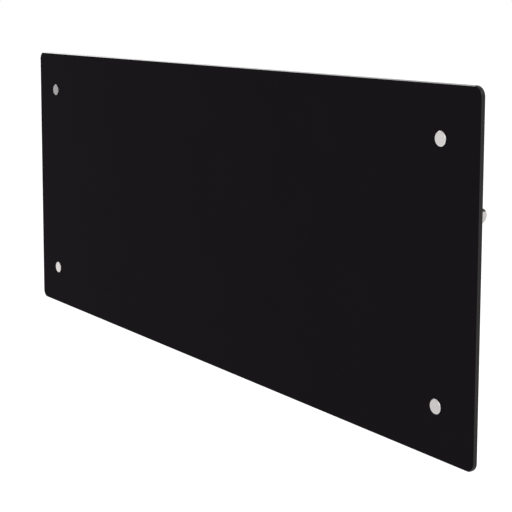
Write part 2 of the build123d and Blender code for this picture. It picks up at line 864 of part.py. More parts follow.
def knob_marker():
    """Dark segment let into the knob's face, flush with its chamfered rim."""
    segment = marker_segment()
    rim = segment.edges().filter_by(GeomType.CIRCLE).sort_by(Axis.X)[-1]
    return chamfer(rim, knob_edge_chamfer)


# --- On/off switch ----------------------------------------------------------------------------
def switch_housing():
    """Snap-in housing: bezel outside, box through the end plate, pocket and blade tabs."""
    half_y = switch_cut_width / 2 - switch_fit
    half_z = switch_cut_height / 2 - switch_fit
    bezel_y = half_y + bezel_border_y
    bezel_z = half_z + bezel_border_z
    bezel_x = (casing_x, casing_x + bezel_thickness)
    y_span = (knob_y - half_y, knob_y + half_y)
    z_span = (switch_level - half_z, switch_level + half_z)
    bezel_y_span = (knob_y - bezel_y, knob_y + bezel_y)
    bezel = block(bezel_x, bezel_y_span, (switch_level - bezel_z, switch_level + bezel_z))
    bezel = chamfer(bezel.faces().sort_by(Axis.X)[-1].outer_wire().edges(), bezel_chamfer)
    body = bezel + block((switch_x, casing_x), y_span, z_span)
    pocket_x = (casing_x + bezel_thickness - rocker_pocket_depth, casing_x + bezel_thickness)
    pocket_y = half_y - switch_wall
    pocket_z = half_z - switch_wall
    pocket_y_span = (knob_y - pocket_y, knob_y + pocket_y)
    body -= block(pocket_x, pocket_y_span, (switch_level - pocket_z, switch_level + pocket_z))
    pin_y = pocket_y + rocker_pin_reach + rocker_pin_clearance
    pin_hole = rocker_pin_diameter + 2 * rocker_pin_clearance
    body -= rod("y", pin_hole, knob_y - pin_y, knob_y + pin_y, (rocker_axis_x, switch_level))
    for z in switch_tabs():
        half_wide = blade_width / 2
        half_thin = blade_thickness / 2
        reach = (switch_x - switch_tab_reach, switch_x)
        body += block(reach, (knob_y - half_wide, knob_y + half_wide), (z - half_thin, z + half_thin))
    return body


def switch_tabs():
    """Blade levels on the switch: live lead, then switched lead."""
    return [switch_level - switch_tab_offset, switch_level + switch_tab_offset]


def rocker():
    """Rocker with two slanted faces on a cross pin, at rest tipped to off."""
    half_y = switch_cut_width / 2 - switch_fit - switch_wall - rocker_gap
    half_z = switch_cut_height / 2 - switch_fit - switch_wall - rocker_gap
    slope = math.tan(math.radians(rocker_throw_deg / 2))
    middle = rocker_thickness / 2
    raised = middle + half_z * slope
    corner = half_z * math.cos(math.radians(rocker_throw_deg / 2))
    outline = Polyline(
        (-middle, -corner),
        (middle + corner * slope, -corner),
        (middle, 0),
        (middle + corner * slope, corner),
        (-middle, corner),
        close=True,
    )
    section = Plane.XZ * make_face(outline)
    body = Pos(0, half_y, 0) * extrude(section, 2 * half_y)
    rims = body.edges().filter_by(Axis.Y).sort_by(Axis.X)
    body = fillet(rims[-2:], min(rocker_edge_radius, raised / 4))
    pocket_y = half_y + rocker_gap + rocker_pin_reach
    body += rod("y", rocker_pin_diameter, -pocket_y, pocket_y, (0, 0))
    return Pos(rocker_axis_x, knob_y, switch_level) * Rot(0, -rocker_throw_deg / 2, 0) * body


# --- Wiring inside the casing -----------------------------------------------------------------
def terminal_places():
    """Pole centres of the terminal block, front to back: live, neutral, earth."""
    first = middle_y - terminal_pitch * (terminal_poles - 1) / 2
    return [first + terminal_pitch * pole for pole in range(terminal_poles)]


def terminal_block():
    """Three-pole block on the partition, with wire entries above and below."""
    half_y = terminal_pitch * terminal_poles / 2
    x_span = (partition_face, terminal_face)
    body = block(x_span, (middle_y - half_y, middle_y + half_y), (terminal_bottom, terminal_top))
    groove = (terminal_face - terminal_groove_depth, terminal_face)
    half_groove = terminal_groove_width / 2
    places = terminal_places()
    for place, following in zip(places, places[1:]):
        y = (place + following) / 2
        body -= block(groove, (y - half_groove, y + half_groove), (terminal_bottom, terminal_top))
    entries = [
        (terminal_bottom, terminal_bottom + terminal_bore_depth),
        (terminal_top - terminal_bore_depth, terminal_top),
    ]
    for y in places:
        for low, high in entries:
            body -= rod("z", terminal_bore, low, high, (terminal_x, y))
        for z in terminal_screw_levels():
            seat = terminal_face - terminal_screw_depth
            body -= rod("x", terminal_screw_diameter, seat, terminal_face, (y, z))
    return body


def terminal_screw_levels():
    return [terminal_bottom + terminal_screw_edge, terminal_top - terminal_screw_edge]


def terminal_screws():
    """Slotted clamp screws of the terminal block."""
    seat = terminal_face - terminal_screw_depth
    top = terminal_face + terminal_screw_proud
    half = terminal_slot_width / 2
    reach = terminal_screw_diameter
    screws = []
    for y in terminal_places():
        for z in terminal_screw_levels():
            screw = rod("x", terminal_screw_diameter, seat, top, (y, z))
            slot = block((terminal_face, top), (y - half, y + half), (z - reach, z + reach))
            screws.append(screw - slot)
    return group(screws)


def thermal_cutout():
    """Disc cut-out on the heat spreader, with two blades that point at the rear cover."""
    flange_back = board_front + cutout_flange_thickness
    body_back = flange_back + cutout_height
    place = (cutout_x, cutout_level)
    body = rod("y", cutout_flange_diameter, board_front, flange_back, place)
    body += rod("y", cutout_diameter, flange_back, body_back, place)
    half_wide = blade_width / 2
    half_thin = blade_thickness / 2
    for x in cutout_blades():
        reach = (body_back, body_back + cutout_blade_reach)
        z_span = (cutout_level - half_wide, cutout_level + half_wide)
        body += block((x - half_thin, x + half_thin), reach, z_span)
    return body


def cutout_blades():
    return [cutout_x - cutout_blade_offset, cutout_x + cutout_blade_offset]


def earth_stud():
    """Screw up through the bottom rail, with its head outside."""
    place = (earth_x, middle_y)
    head = hexagon("z", earth_flats, -casing_z - earth_head_height, -casing_z, place)
    return head + rod("z", earth_diameter, -casing_z, -inner_z + earth_stud_length, place)


def earth_nuts():
    """Two nuts that clamp the ring terminal between them."""
    nuts = []
    place = (earth_x, middle_y)
    for low in (-inner_z, ring_high):
        high = low + earth_nut_height
        nut = hexagon("z", earth_flats, low, high, place)
        nuts.append(nut - rod("z", earth_diameter, low, high, place))
    return group(nuts)


def earth_ring():
    """Ring terminal with a flat tail towards its lead."""
    place = (earth_x, middle_y)
    eye = rod("z", ring_outer_diameter, ring_low, ring_high, place)
    half = ring_tail_width / 2
    x_span = (earth_x, earth_x + ring_tail_length)
    tail = block(x_span, (middle_y - half, middle_y + half), (ring_low, ring_high))
    return eye + tail - rod("z", earth_diameter, ring_low, ring_high, place)


def live_lead():
    """Terminal block to the switch's lower blade."""
    live_y = terminal_places()[0]
    z = switch_tabs()[0]
    tab_end = switch_x - switch_tab_reach
    points = [
        (terminal_x, live_y, terminal_top),
        (terminal_x, live_y, terminal_top + live_lead_rise),
        (partition_face + live_lead_reach, knob_y, z),
        (tab_end, knob_y, z),
    ]
    return lead(points, lead_bend)


def switched_lead():
    """Switch's upper blade to the thermostat's front blade."""
    y, z = thermostat_tabs()[0]
    start_z = switch_tabs()[1]
    tab_end = thermostat_x - thermostat_tab_reach
    bend_x = tab_end - switched_lead_run
    points = [
        (switch_x - switch_tab_reach, knob_y, start_z),
        (bend_x, knob_y, start_z),
        (bend_x, y, z),
        (tab_end, y, z),
    ]
    return lead(points, lead_bend)


def cutout_lead():
    """Thermostat's rear blade to the cut-out, through the upper grommet."""
    y, z = thermostat_tabs()[1]
    bend_x = partition_face + cutout_lead_reach
    blade_x = cutout_blades()[1]
    points = [
        (thermostat_x - thermostat_tab_reach, y, z),
        (bend_x, y, z),
        (bend_x, cutout_lead_y, cutout_level),
        (blade_x, cutout_lead_y, cutout_level),
        (blade_x, cutout_blade_end, cutout_level),
    ]
    return lead(points, [lead_bend, lead_bend, tight_bend])


def element_lead():
    """Cut-out to the upper element tab."""
    blade_x = cutout_blades()[0]
    tab_back = rear_film_front + tab_thickness
    end_x = tab_x - tab_lead_offset
    points = [
        (blade_x, cutout_blade_end, cutout_level),
        (blade_x, cutout_lead_y, cutout_level),
        (blade_x, cutout_lead_y, cutout_level - element_lead_drop),
        (end_x, cutout_lead_y, upper_tab_z),
        (end_x, tab_back, upper_tab_z),
    ]
    return lead(points, [tight_bend, lead_bend, lead_bend])


def neutral_lead():
    """Terminal block to the lower element tab, through the lower grommet."""
    neutral_y = terminal_places()[1]
    tab_back = rear_film_front + tab_thickness
    end_x = tab_x + tab_lead_offset
    points = [
        (terminal_x, neutral_y, terminal_top),
        (terminal_x, neutral_lead_y, neutral_lead_z),
        (end_x, neutral_lead_y, neutral_lead_z),
        (end_x, neutral_lead_y, tab_z),
        (end_x, tab_back, tab_z),
    ]
    return lead(points, lead_bend)


def earth_lead():
    """Terminal block to the ring terminal on the earth stud."""
    earth_y = terminal_places()[2]
    tail_end = earth_x + ring_tail_length
    away_x = tail_end + earth_lead_reach
    level = terminal_top + earth_lead_rise
    ring_z = (ring_low + ring_high) / 2
    points = [
        (terminal_x, earth_y, terminal_top),
        (terminal_x, earth_y, level),
        (away_x, earth_y, level),
        (away_x, middle_y, ring_z),
        (tail_end, middle_y, ring_z),
    ]
    return lead(points, lead_bend)


# --- Cord gland under the controls ------------------------------------------------------------
def gland_body():
    """Threaded body through the bottom rail, with its hexagon outside."""
    place = (gland_x, middle_y)
    body = hexagon("z", gland_flats, gland_hex_bottom, -casing_z, place)
    body += rod("z", gland_thread_diameter, gland_thread_low, gland_thread_high, place)
    return body - rod("z", gland_bore, gland_thread_low, gland_thread_high, place)


def gland_locknut():
    place = (gland_x, middle_y)
    high = -inner_z + locknut_height
    body = hexagon("z", locknut_flats, -inner_z, high, place)
    return body - rod("z", gland_thread_diameter, -inner_z, high, place)


def gland_dome():
    """Dome nut that squeezes the seal, open for the cord."""
    place = (gland_x, middle_y)
    body = rod("z", gland_flats, gland_bottom, gland_hex_bottom, place)
    rim = body.edges().filter_by(GeomType.CIRCLE).sort_by(Axis.Z)[0]
    body = fillet(rim, gland_dome_round)
    body -= rod("z", gland_thread_diameter, gland_thread_low, gland_hex_bottom, place)
    mouth = gland_cord_bore + 2 * gland_mouth_gap
    return body - rod("z", mouth, gland_bottom, gland_hex_bottom, place)


def gland_seal():
    """Rubber ring inside the gland that grips the cord."""
    high = gland_thread_low + gland_seal_length
    return ring("z", gland_bore, gland_cord_bore, gland_thread_low, high, (gland_x, middle_y))


# --- Hanger rail on the casing, and the wall bracket ------------------------------------------
def hanger_rail():
    """Hooked rail on the rear cover: its channel drops over the bracket's lips."""
    points = [
        (hanger_plate_y, hanger_top - hanger_plate_drop),
        (hanger_plate_y, hanger_top),
        (hanger_lip_y, hanger_top),
        (hanger_lip_y, hook_top - hanger_lip_drop),
    ]
    half = hanger_length / 2
    body = fold_along_x(points, hanger_sheet, hanger_bend, (-half, half))
    for x, z in HANGER_RIVETS:
        body -= rod("y", rivet_diameter, cover_back, cover_back + hanger_sheet, (x, z))
    return body


def hanger_rail_rivets():
    back = cover_back + hanger_sheet
    return group(rivet("y", cover_front, back, place, 1) for place in HANGER_RIVETS)


def upright(side):
    """Folded wall strip: hook with an upright lip at the top, padded foot at the bottom."""
    web_y = -bracket_sheet / 2
    shelf_z = hook_shelf_level - bracket_sheet / 2
    foot_z = foot_level + bracket_sheet / 2
    points = [
        (hook_lip_y, hook_top), (hook_lip_y, shelf_z), (web_y, shelf_z),
        (web_y, foot_z), (foot_lip_y, foot_z), (foot_lip_y, foot_level + foot_lip_height),
    ]
    x = side * upright_x
    x_span = (x - upright_width / 2, x + upright_width / 2)
    strip = fold_along_x(points, bracket_sheet, bracket_bend, x_span)
    lip_corners = strip.edges().filter_by(Axis.Y).group_by(Axis.Z)[-1]
    strip = chamfer(lip_corners, hook_corner)
    for z in (-wall_hole_spacing_z / 2, wall_hole_spacing_z / 2):
        strip -= rod("y", wall_hole_diameter, -bracket_sheet, 0.0, (x, z))
    for place_x, place_z in crossbar_rivet_places():
        strip -= rod("y", rivet_diameter, -bracket_sheet, 0.0, (place_x, place_z))
    return strip


def upright_left():
    return upright(-1)


def upright_right():
    return upright(1)


def crossbar_rivet_places():
    """Rivet centres where the crossbar lies on the uprights."""
    across = upright_width / 2 - crossbar_rivet_edge
    above = crossbar_height / 2 - crossbar_rivet_edge
    return [
        (side * upright_x + shift * across, level * above)
        for side in SIDES for shift in SIDES for level in SIDES
    ]


def crossbar():
    """Channel strip that ties the two uprights at the right distance."""
    half = upright_x + upright_width / 2 + crossbar_past_upright
    z = crossbar_height / 2 - bracket_sheet / 2
    front = crossbar_y - bracket_sheet / 2 - crossbar_flange
    points = [(front, z), (crossbar_y, z), (crossbar_y, -z), (front, -z)]
    body = fold_along_x(points, bracket_sheet, bracket_bend, (-half, half))
    for place in crossbar_rivet_places():
        body -= rod("y", rivet_diameter, -2 * bracket_sheet, -bracket_sheet, place)
    return body


def crossbar_rivets():
    """Flush rivets: heads in the crossbar's channel, nothing proud at the wall."""
    return group(rivet("y", -2 * bracket_sheet, 0.0, place, -1) for place in crossbar_rivet_places())


def bracket_pads():
    """Rubber pads on the feet, which keep the lower edge of the casing off the steel."""
    pads = []
    low = foot_level + bracket_sheet + bracket_bend
    high = foot_level + foot_lip_height
    for side in SIDES:
        x = side * upright_x
        half = upright_width / 2 - pad_side_margin
        pads.append(block((x - half, x + half), (pad_front, pad_back), (low, high)))
    return group(pads)


# --- Every piece under its own name -----------------------------------------------------------
PIECES = {
    "glass_front": glass_front,
    "fixing_caps": lambda: at_fixings(fixing_cap),
    "cap_washers": lambda: at_fixings(cap_washer),
    "glass_sleeves": lambda: at_fixings(glass_sleeve),
    "isolator_washers": lambda: at_fixings(isolator_washer),
    "steel_washers": lambda: at_fixings(steel_washer),
    "fixing_nuts": lambda: at_fixings(fixing_nut),
    "gasket_strips": gasket_strips,
    "casing_top_rail": casing_top_rail,
    "casing_bottom_rail": casing_bottom_rail,
    "casing_left_end": casing_left_end,
    "casing_right_end": casing_right_end,
    "rear_cover": rear_cover,
    "cover_screws": cover_screws,
    "element_front_film": element_front_film,
    "heating_track": heating_track,
    "element_rear_film": element_rear_film,
    "element_tabs": element_tabs,
    "heat_spreader": heat_spreader,
    "insulation_board": insulation_board,
    "retaining_bars": retaining_bars,
    "partition": partition,
    "casing_rivets": casing_rivets,
    "lead_grommets": lead_grommets,
    "thermal_cutout": thermal_cutout,
    "thermostat_body": thermostat_body,
    "thermostat_bush": thermostat_bush,
    "bush_nut": bush_nut,
    "spindle": spindle,
    "knob": knob,
    "knob_marker": knob_marker,
    "switch_housing": switch_housing,
    "rocker": rocker,
    "terminal_block": terminal_block,
    "terminal_screws": terminal_screws,
    "earth_stud": earth_stud,
    "earth_nuts": earth_nuts,
    "earth_ring": earth_ring,
    "live_lead": live_lead,
    "switched_lead": switched_lead,
    "cutout_lead": cutout_lead,
    "element_lead": element_lead,
    "neutral_lead": neutral_lead,
    "earth_lead": earth_lead,
    "gland_body": gland_body,
    "gland_locknut": gland_locknut,
    "gland_dome": gland_dome,
    "gland_seal": gland_seal,
    "hanger_rail": hanger_rail,
    "hanger_rail_rivets": hanger_rail_rivets,
    "upright_left": upright_left,
    "upright_right": upright_right,
    "crossbar": crossbar,
    "crossbar_rivets": crossbar_rivets,
    "bracket_pads": bracket_pads,
}

os.makedirs("parts", exist_ok=True)
for name, make in PIECES.items():
    export_step(make(), f"parts/{name}.step")
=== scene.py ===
"""Looks of the infrared panel heater, dressed over its solids.

Metres, in the solids' own frame: +X right seen from the front, +Y into the wall, +Z up.
"""

import bmesh
import bpy
import json
import math
from mathutils import Matrix, Vector

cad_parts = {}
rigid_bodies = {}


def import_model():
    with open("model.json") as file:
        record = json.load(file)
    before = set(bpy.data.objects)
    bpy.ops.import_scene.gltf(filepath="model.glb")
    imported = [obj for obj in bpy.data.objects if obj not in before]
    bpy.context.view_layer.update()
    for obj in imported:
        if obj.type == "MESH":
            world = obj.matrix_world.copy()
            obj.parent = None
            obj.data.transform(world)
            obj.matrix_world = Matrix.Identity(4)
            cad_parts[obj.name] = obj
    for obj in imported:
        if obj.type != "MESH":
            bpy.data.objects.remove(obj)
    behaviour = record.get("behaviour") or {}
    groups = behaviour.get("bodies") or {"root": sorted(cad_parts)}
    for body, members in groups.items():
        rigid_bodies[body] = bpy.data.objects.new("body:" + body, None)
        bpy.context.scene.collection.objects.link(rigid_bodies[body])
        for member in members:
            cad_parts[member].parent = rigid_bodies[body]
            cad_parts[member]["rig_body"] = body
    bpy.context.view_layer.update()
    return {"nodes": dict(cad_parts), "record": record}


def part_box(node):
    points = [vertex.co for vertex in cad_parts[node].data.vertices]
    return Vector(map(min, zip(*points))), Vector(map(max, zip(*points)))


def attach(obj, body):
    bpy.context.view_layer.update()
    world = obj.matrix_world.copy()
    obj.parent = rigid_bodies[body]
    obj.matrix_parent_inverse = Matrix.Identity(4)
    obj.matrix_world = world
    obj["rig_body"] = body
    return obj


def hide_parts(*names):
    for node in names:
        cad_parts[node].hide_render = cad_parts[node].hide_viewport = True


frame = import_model()
nodes = frame["nodes"]
slot_of = {part["node"]: part["material_slot"] for part in frame["record"]["subparts"]}
MM = 0.001
TURN = 2 * math.pi
Y_AXIS, Z_AXIS = 1, 2
FIXING_X = 376 * MM                 # half the caps' spacing along the glass
FIXING_Z = 121 * MM                 # half their spacing up it
DOUBLES = 0.001 * MM                # corners nearer than this are one
SEAM = 0.002 * MM                   # a turned shape's seam and poles close within this
FLAT_DEG = 0.5                      # faces that meet at less than this are one flat face


# --- Camera: the photograph's viewpoint ----------------------------------------------------------
FOCAL_PX = 1316.22
FRAME_PX = 512
SENSOR_MM = 36.0
PANEL_FRONT_Y = -0.068              # the viewpoint was fitted from the glass's front face
VIEW_YAW = 0.96088
VIEW_PITCH = 0.11629
VIEW_ROLL = 0.00281
VIEW_OFFSET = (-0.05272922, 0.07073247, 1.47574621)
VIEW_SHIFT = -0.2
CLIP_NEAR = 0.05
CLIP_FAR = 60.0


def make_camera():
    """Camera from the fitted turn, in radians, and offset of the glass's front face.

    The fit's own axes run to the right, down and away from the viewpoint.
    """
    base = Matrix(((1, 0, 0), (0, 0, -1), (0, 1, 0)))
    yaw = Matrix.Rotation(VIEW_YAW, 3, "Y")
    pitch = Matrix.Rotation(VIEW_PITCH, 3, "X")
    roll = Matrix.Rotation(VIEW_ROLL, 3, "Z")
    turn = roll @ pitch @ yaw @ base
    place = -(turn.transposed() @ Vector(VIEW_OFFSET)) + Vector((0, PANEL_FRONT_Y, 0))
    data = bpy.data.cameras.new("camera")
    data.sensor_width = SENSOR_MM
    data.lens = FOCAL_PX / FRAME_PX * SENSOR_MM
    data.shift_y = VIEW_SHIFT
    data.clip_start = CLIP_NEAR
    data.clip_end = CLIP_FAR
    camera = bpy.data.objects.new("camera", data)
    bpy.context.scene.collection.objects.link(camera)
    columns = Matrix((turn[0], -turn[1], -turn[2])).transposed()
    camera.matrix_world = Matrix.Translation(place) @ columns.to_4x4()
    bpy.context.scene.camera = camera


# --- Materials -----------------------------------------------------------------------------------
# The Mix node's number, vector and colour sockets share their names, so they go by place.
VECTOR_A, VECTOR_B, COLOUR_A, COLOUR_B = 4, 5, 6, 7
VECTOR_OUT, COLOUR_OUT = 1, 2
# Most of a noise's values lie between these.
NOISE_LOW, NOISE_HIGH = 0.3, 0.7
RING_SPACING = 0.45 * MM


def linear(code):
    """Linear colour of an sRGB hex code."""
    channels = [int(code[place:place + 2], 16) / 255 for place in (0, 2, 4)]
    return [c / 12.92 if c <= 0.04045 else ((c + 0.055) / 1.055) ** 2.4 for c in channels] + [1.0]


def add(tree, kind, inputs=None, **settings):
    """Adds a node; inputs go from a socket's name or number to a value or to an output."""
    node = tree.nodes.new(kind)
    for name, value in settings.items():
        setattr(node, name, value)
    for socket, value in (inputs or {}).items():
        if isinstance(value, bpy.types.NodeSocket):
            tree.links.new(value, node.inputs[socket])
        else:
            node.inputs[socket].default_value = value
    return node


def start(name, colour, constants):
    """New material with its constants on the shader's own sockets.

    Returns the material, its tree and its shader.
    """
    material = bpy.data.materials.new(name)
    material.use_nodes = True
    tree = material.node_tree
    shader = tree.nodes["Principled BSDF"]
    shader.inputs["Base Color"].default_value = linear(colour)
    for socket, value in constants.items():
        shader.inputs[socket].default_value = value
    return material, tree, shader


def pattern_space(tree, size_mm, stretch=(1, 1, 1)):
    """Object coordinates in which one unit is size_mm, drawn out by stretch along each axis."""
    source = add(tree, "ShaderNodeTexCoord")
    scale = [1 / (size_mm * MM * factor) for factor in stretch]
    mapped = add(tree, "ShaderNodeMapping", {"Vector": source.outputs["Object"], "Scale": scale})
    return mapped.outputs["Vector"]


def lumps(tree, size_mm, stretch=(1, 1, 1), detail=3.0):
    """Noise whose lumps are about size_mm across."""
    space = pattern_space(tree, size_mm, stretch)
    node = add(tree, "ShaderNodeTexNoise", {"Vector": space, "Scale": 1.0, "Detail": detail})
    return node.outputs["Fac"]


def mottle(tree, shader, light, dark, pattern):
    """Colour that wanders between two shades."""
    mix = add(tree, "ShaderNodeMix", {
        "Factor": pattern, COLOUR_A: linear(dark), COLOUR_B: linear(light),
    }, data_type="RGBA")
    tree.links.new(mix.outputs[COLOUR_OUT], shader.inputs["Base Color"])


def polish(tree, shader, smooth, rough, pattern):
    """Roughness that wanders between two values."""
    spread = add(tree, "ShaderNodeMapRange", {
        "Value": pattern, "From Min": NOISE_LOW, "From Max": NOISE_HIGH,
        "To Min": smooth, "To Max": rough,
    })
    tree.links.new(spread.outputs["Result"], shader.inputs["Roughness"])


def relief(tree, shader, pattern, height_mm):
    """Surface relief of the given height."""
    bump = add(tree, "ShaderNodeBump", {
        "Height": pattern, "Distance": height_mm * MM, "Strength": 1.0,
    })
    tree.links.new(bump.outputs["Normal"], shader.inputs["Normal"])


def glass_face():
    """Toughened float glass with black enamel fired on its back: a deep, even black.

    The photograph shows no mirror image in it, so its gloss is turned well down. It waves very
    slightly, as float glass does.
    """
    material, tree, shader = start("glass_face", "181518", {
        "Roughness": 0.06, "IOR": 1.5, "Specular IOR Level": 0.002,
    })
    mottle(tree, shader, "191619", "171417", lumps(tree, 60))
    relief(tree, shader, lumps(tree, 180, stretch=(1, 1, 3), detail=1.0), 0.02)
    return material


def glass_arris():
    """Ground and polished glass arris: catches the lamps as a fine bright line."""
    material, tree, shader = start("glass_arris", "181818", {
        "IOR": 1.52, "Specular IOR Level": 0.29,
    })
    mottle(tree, shader, "1B1A1A", "151515", lumps(tree, 40))
    polish(tree, shader, 0.05, 0.11, lumps(tree, 24))
    return material


def glass_edge():
    """Ground glass edge beside black enamel: dull grey, with fine grinding marks."""
    material, tree, shader = start("glass_edge", "292827", {
        "IOR": 1.52, "Specular IOR Level": 0.08,
    })
    mottle(tree, shader, "2C2B2A", "262524", lumps(tree, 40))
    grinding = lumps(tree, 0.8, stretch=(12, 1, 12))
    polish(tree, shader, 0.3, 0.4, grinding)
    relief(tree, shader, grinding, 0.001)
    return material


def glass_enamel():
    """Fired ceramic enamel on the glass's back: a satin black with a faint screen-printed grain."""
    material, tree, shader = start("glass_enamel", "141415", {
        "IOR": 1.5, "Specular IOR Level": 0.4,
    })
    grain = lumps(tree, 0.9)
    mottle(tree, shader, "171718", "121213", lumps(tree, 25))
    polish(tree, shader, 0.38, 0.5, grain)
    relief(tree, shader, grain, 0.006)
    return material


def turned_steel():
    """Stainless steel, faced on a lathe and satin finished: pale, with rings about each cap's axis.

    The rings are 0.1 mm apart on the metal and are drawn 0.45 mm apart so that they show. The
    photograph has each cap at its own brightness from what it reflects, so each carries its own painted
    reflection: a darker or paler grey of the same steel, given by its shade attribute.
    """
    material, tree, shader = start("turned_stainless", "CDC8C5", {"Metallic": 1.0})
    source = add(tree, "ShaderNodeTexCoord")
    split = add(tree, "ShaderNodeSeparateXYZ", {0: source.outputs["Object"]})
    squares = []
    for axis, half in (("X", FIXING_X), ("Z", FIXING_Z)):
        folded = add(tree, "ShaderNodeMath", {0: split.outputs[axis]}, operation="ABSOLUTE")
        offset = add(tree, "ShaderNodeMath", {0: folded.outputs[0], 1: half}, operation="SUBTRACT")
        square = add(tree, "ShaderNodeMath", {0: offset.outputs[0], 1: 2.0}, operation="POWER")
        squares.append(square.outputs[0])
    total = add(tree, "ShaderNodeMath", {0: squares[0], 1: squares[1]}, operation="ADD")
    radius = add(tree, "ShaderNodeMath", {0: total.outputs[0], 1: 0.5}, operation="POWER")
    phase = add(tree, "ShaderNodeMath", {
        0: radius.outputs[0], 1: TURN / RING_SPACING,
    }, operation="MULTIPLY")
    wave = add(tree, "ShaderNodeMath", {0: phase.outputs[0]}, operation="SINE")
    relief(tree, shader, wave.outputs[0], 0.0025)
    polish(tree, shader, 0.24, 0.34, lumps(tree, 1.2))
    # The shade attribute is each cap's painted reflection, with a little random cloud added; the mix
    # below runs from the darkest to the palest painted steel.
    own = add(tree, "ShaderNodeAttribute", attribute_name="shade")
    cloud = add(tree, "ShaderNodeMapRange", {"Value": lumps(tree, 3), "To Min": -0.06, "To Max": 0.06})
    shade = add(tree, "ShaderNodeMath", {
        0: own.outputs["Fac"], 1: cloud.outputs["Result"],
    }, operation="ADD", use_clamp=True)
    mottle(tree, shader, "DAD7D5", "959292", shade.outputs[0])
    return material


def powder_coat():
    """Black polyester powder coat on steel: satin, with the fine orange peel of a baked coat."""
    material, tree, shader = start("black_powder_coat", "1B1B1C", {
        "IOR": 1.5, "Specular IOR Level": 0.32,
    })
    peel = lumps(tree, 1.1, detail=2.0)
    mottle(tree, shader, "1D1D1E", "171718", lumps(tree, 40))
    polish(tree, shader, 0.46, 0.6, peel)
    relief(tree, shader, peel, 0.05)
    return material


def galvanised_sheet():
    """Hot-dip galvanised steel: crystals of zinc some 6 mm across, each with its own grey and gloss."""
    material, tree, shader = start("galvanised_sheet", "9CA1A4", {"Metallic": 1.0})
    space = pattern_space(tree, 6)
    bent = add(tree, "ShaderNodeTexNoise", {"Vector": space, "Scale": 1.3, "Detail": 2.0})
    warp = add(tree, "ShaderNodeMix", {
        "Factor": 0.22, VECTOR_A: space, VECTOR_B: bent.outputs["Color"],
    }, data_type="VECTOR")
    cells = add(tree, "ShaderNodeTexVoronoi", {"Vector": warp.outputs[VECTOR_OUT], "Scale": 1.0})
    shade = add(tree, "ShaderNodeSeparateColor", {0: cells.outputs["Color"]})
    mottle(tree, shader, "A5AAAD", "8C9296", shade.outputs["Red"])
    spread = add(tree, "ShaderNodeMapRange", {
        "Value": shade.outputs["Green"], "To Min": 0.36, "To Max": 0.54,
    })
    tree.links.new(spread.outputs["Result"], shader.inputs["Roughness"])
    relief(tree, shader, lumps(tree, 0.7), 0.008)
    return material


def plated_metal(name, light, dark, smooth, rough):
    """Plated or turned small metal part: bright, with faint cloudy patches and drawing marks."""
    material, tree, shader = start(name, light, {"Metallic": 1.0})
    mottle(tree, shader, light, dark, lumps(tree, 3.5))
    marks = lumps(tree, 0.35, stretch=(1, 6, 1))
    polish(tree, shader, smooth, rough, marks)
    relief(tree, shader, marks, 0.004)
    return material


def rolled_sheet(name, light, dark, smooth, rough):
    """Rolled metal sheet or foil: fine lines along the sheet's length."""
    material, tree, shader = start(name, light, {"Metallic": 1.0})
    lines = lumps(tree, 0.5, stretch=(60, 1, 1))
    mottle(tree, shader, light, dark, lines)
    polish(tree, shader, smooth, rough, lines)
    relief(tree, shader, lines, 0.003)
    return material


def moulding(name, light, dark, smooth, rough, texture_mm, height_mm):
    """Moulded plastic: an even colour, and the fine texture of its tool."""
    material, tree, shader = start(name, light, {"IOR": 1.48, "Specular IOR Level": 0.5})
    texture = lumps(tree, texture_mm, detail=2.0)
    mottle(tree, shader, light, dark, lumps(tree, 12))
    polish(tree, shader, smooth, rough, texture)
    relief(tree, shader, texture, height_mm)
    return material


def moulded_rubber(name, light, dark):
    """Moulded rubber: dull, with a bloom that greys it in patches."""
    material, tree, shader = start(name, light, {"IOR": 1.5, "Specular IOR Level": 0.3})
    mottle(tree, shader, light, dark, lumps(tree, 6, detail=5.0))
    polish(tree, shader, 0.68, 0.86, lumps(tree, 0.8))
    relief(tree, shader, lumps(tree, 0.6), 0.02)
    return material


def polyimide_film():
    """Amber polyimide film: glossy and slightly see-through."""
    material, tree, shader = start("polyimide_film", "A8641A", {
        "IOR": 1.7, "Roughness": 0.22,
    })
    mottle(tree, shader, "B8721F", "985611", lumps(tree, 50))
    relief(tree, shader, lumps(tree, 12), 0.05)
    return material


def fibre_board():
    """Pressed mineral fibre board: pale, soft and matted with short fibres."""
    material, tree, shader = start("fibre_board", "D8D3C6", {
        "Roughness": 0.95, "Specular IOR Level": 0.2,
    })
    fibres = lumps(tree, 1.2, stretch=(5, 1, 1), detail=6.0)
    mottle(tree, shader, "E2DDD1", "C6BFAE", fibres)
    relief(tree, shader, fibres, 0.3)
    return material


def earth_insulation():
    """Green lead insulation with a yellow stripe along it."""
    spacing = 1.4 * MM
    green_share = 0.6
    material, tree, shader = start("earth_insulation", "3F8C34", {"IOR": 1.45, "Roughness": 0.45})
    source = add(tree, "ShaderNodeTexCoord")
    split = add(tree, "ShaderNodeSeparateXYZ", {0: source.outputs["Object"]})
    turns = add(tree, "ShaderNodeMath", {0: split.outputs["Y"], 1: 1 / spacing}, operation="MULTIPLY")
    part = add(tree, "ShaderNodeMath", {0: turns.outputs[0]}, operation="FRACT")
    stripe = add(tree, "ShaderNodeMath", {
        0: part.outputs[0], 1: green_share,
    }, operation="GREATER_THAN")
    mottle(tree, shader, "DCC022", "3F8C34", stripe.outputs[0])
    relief(tree, shader, lumps(tree, 0.9), 0.01)
    return material


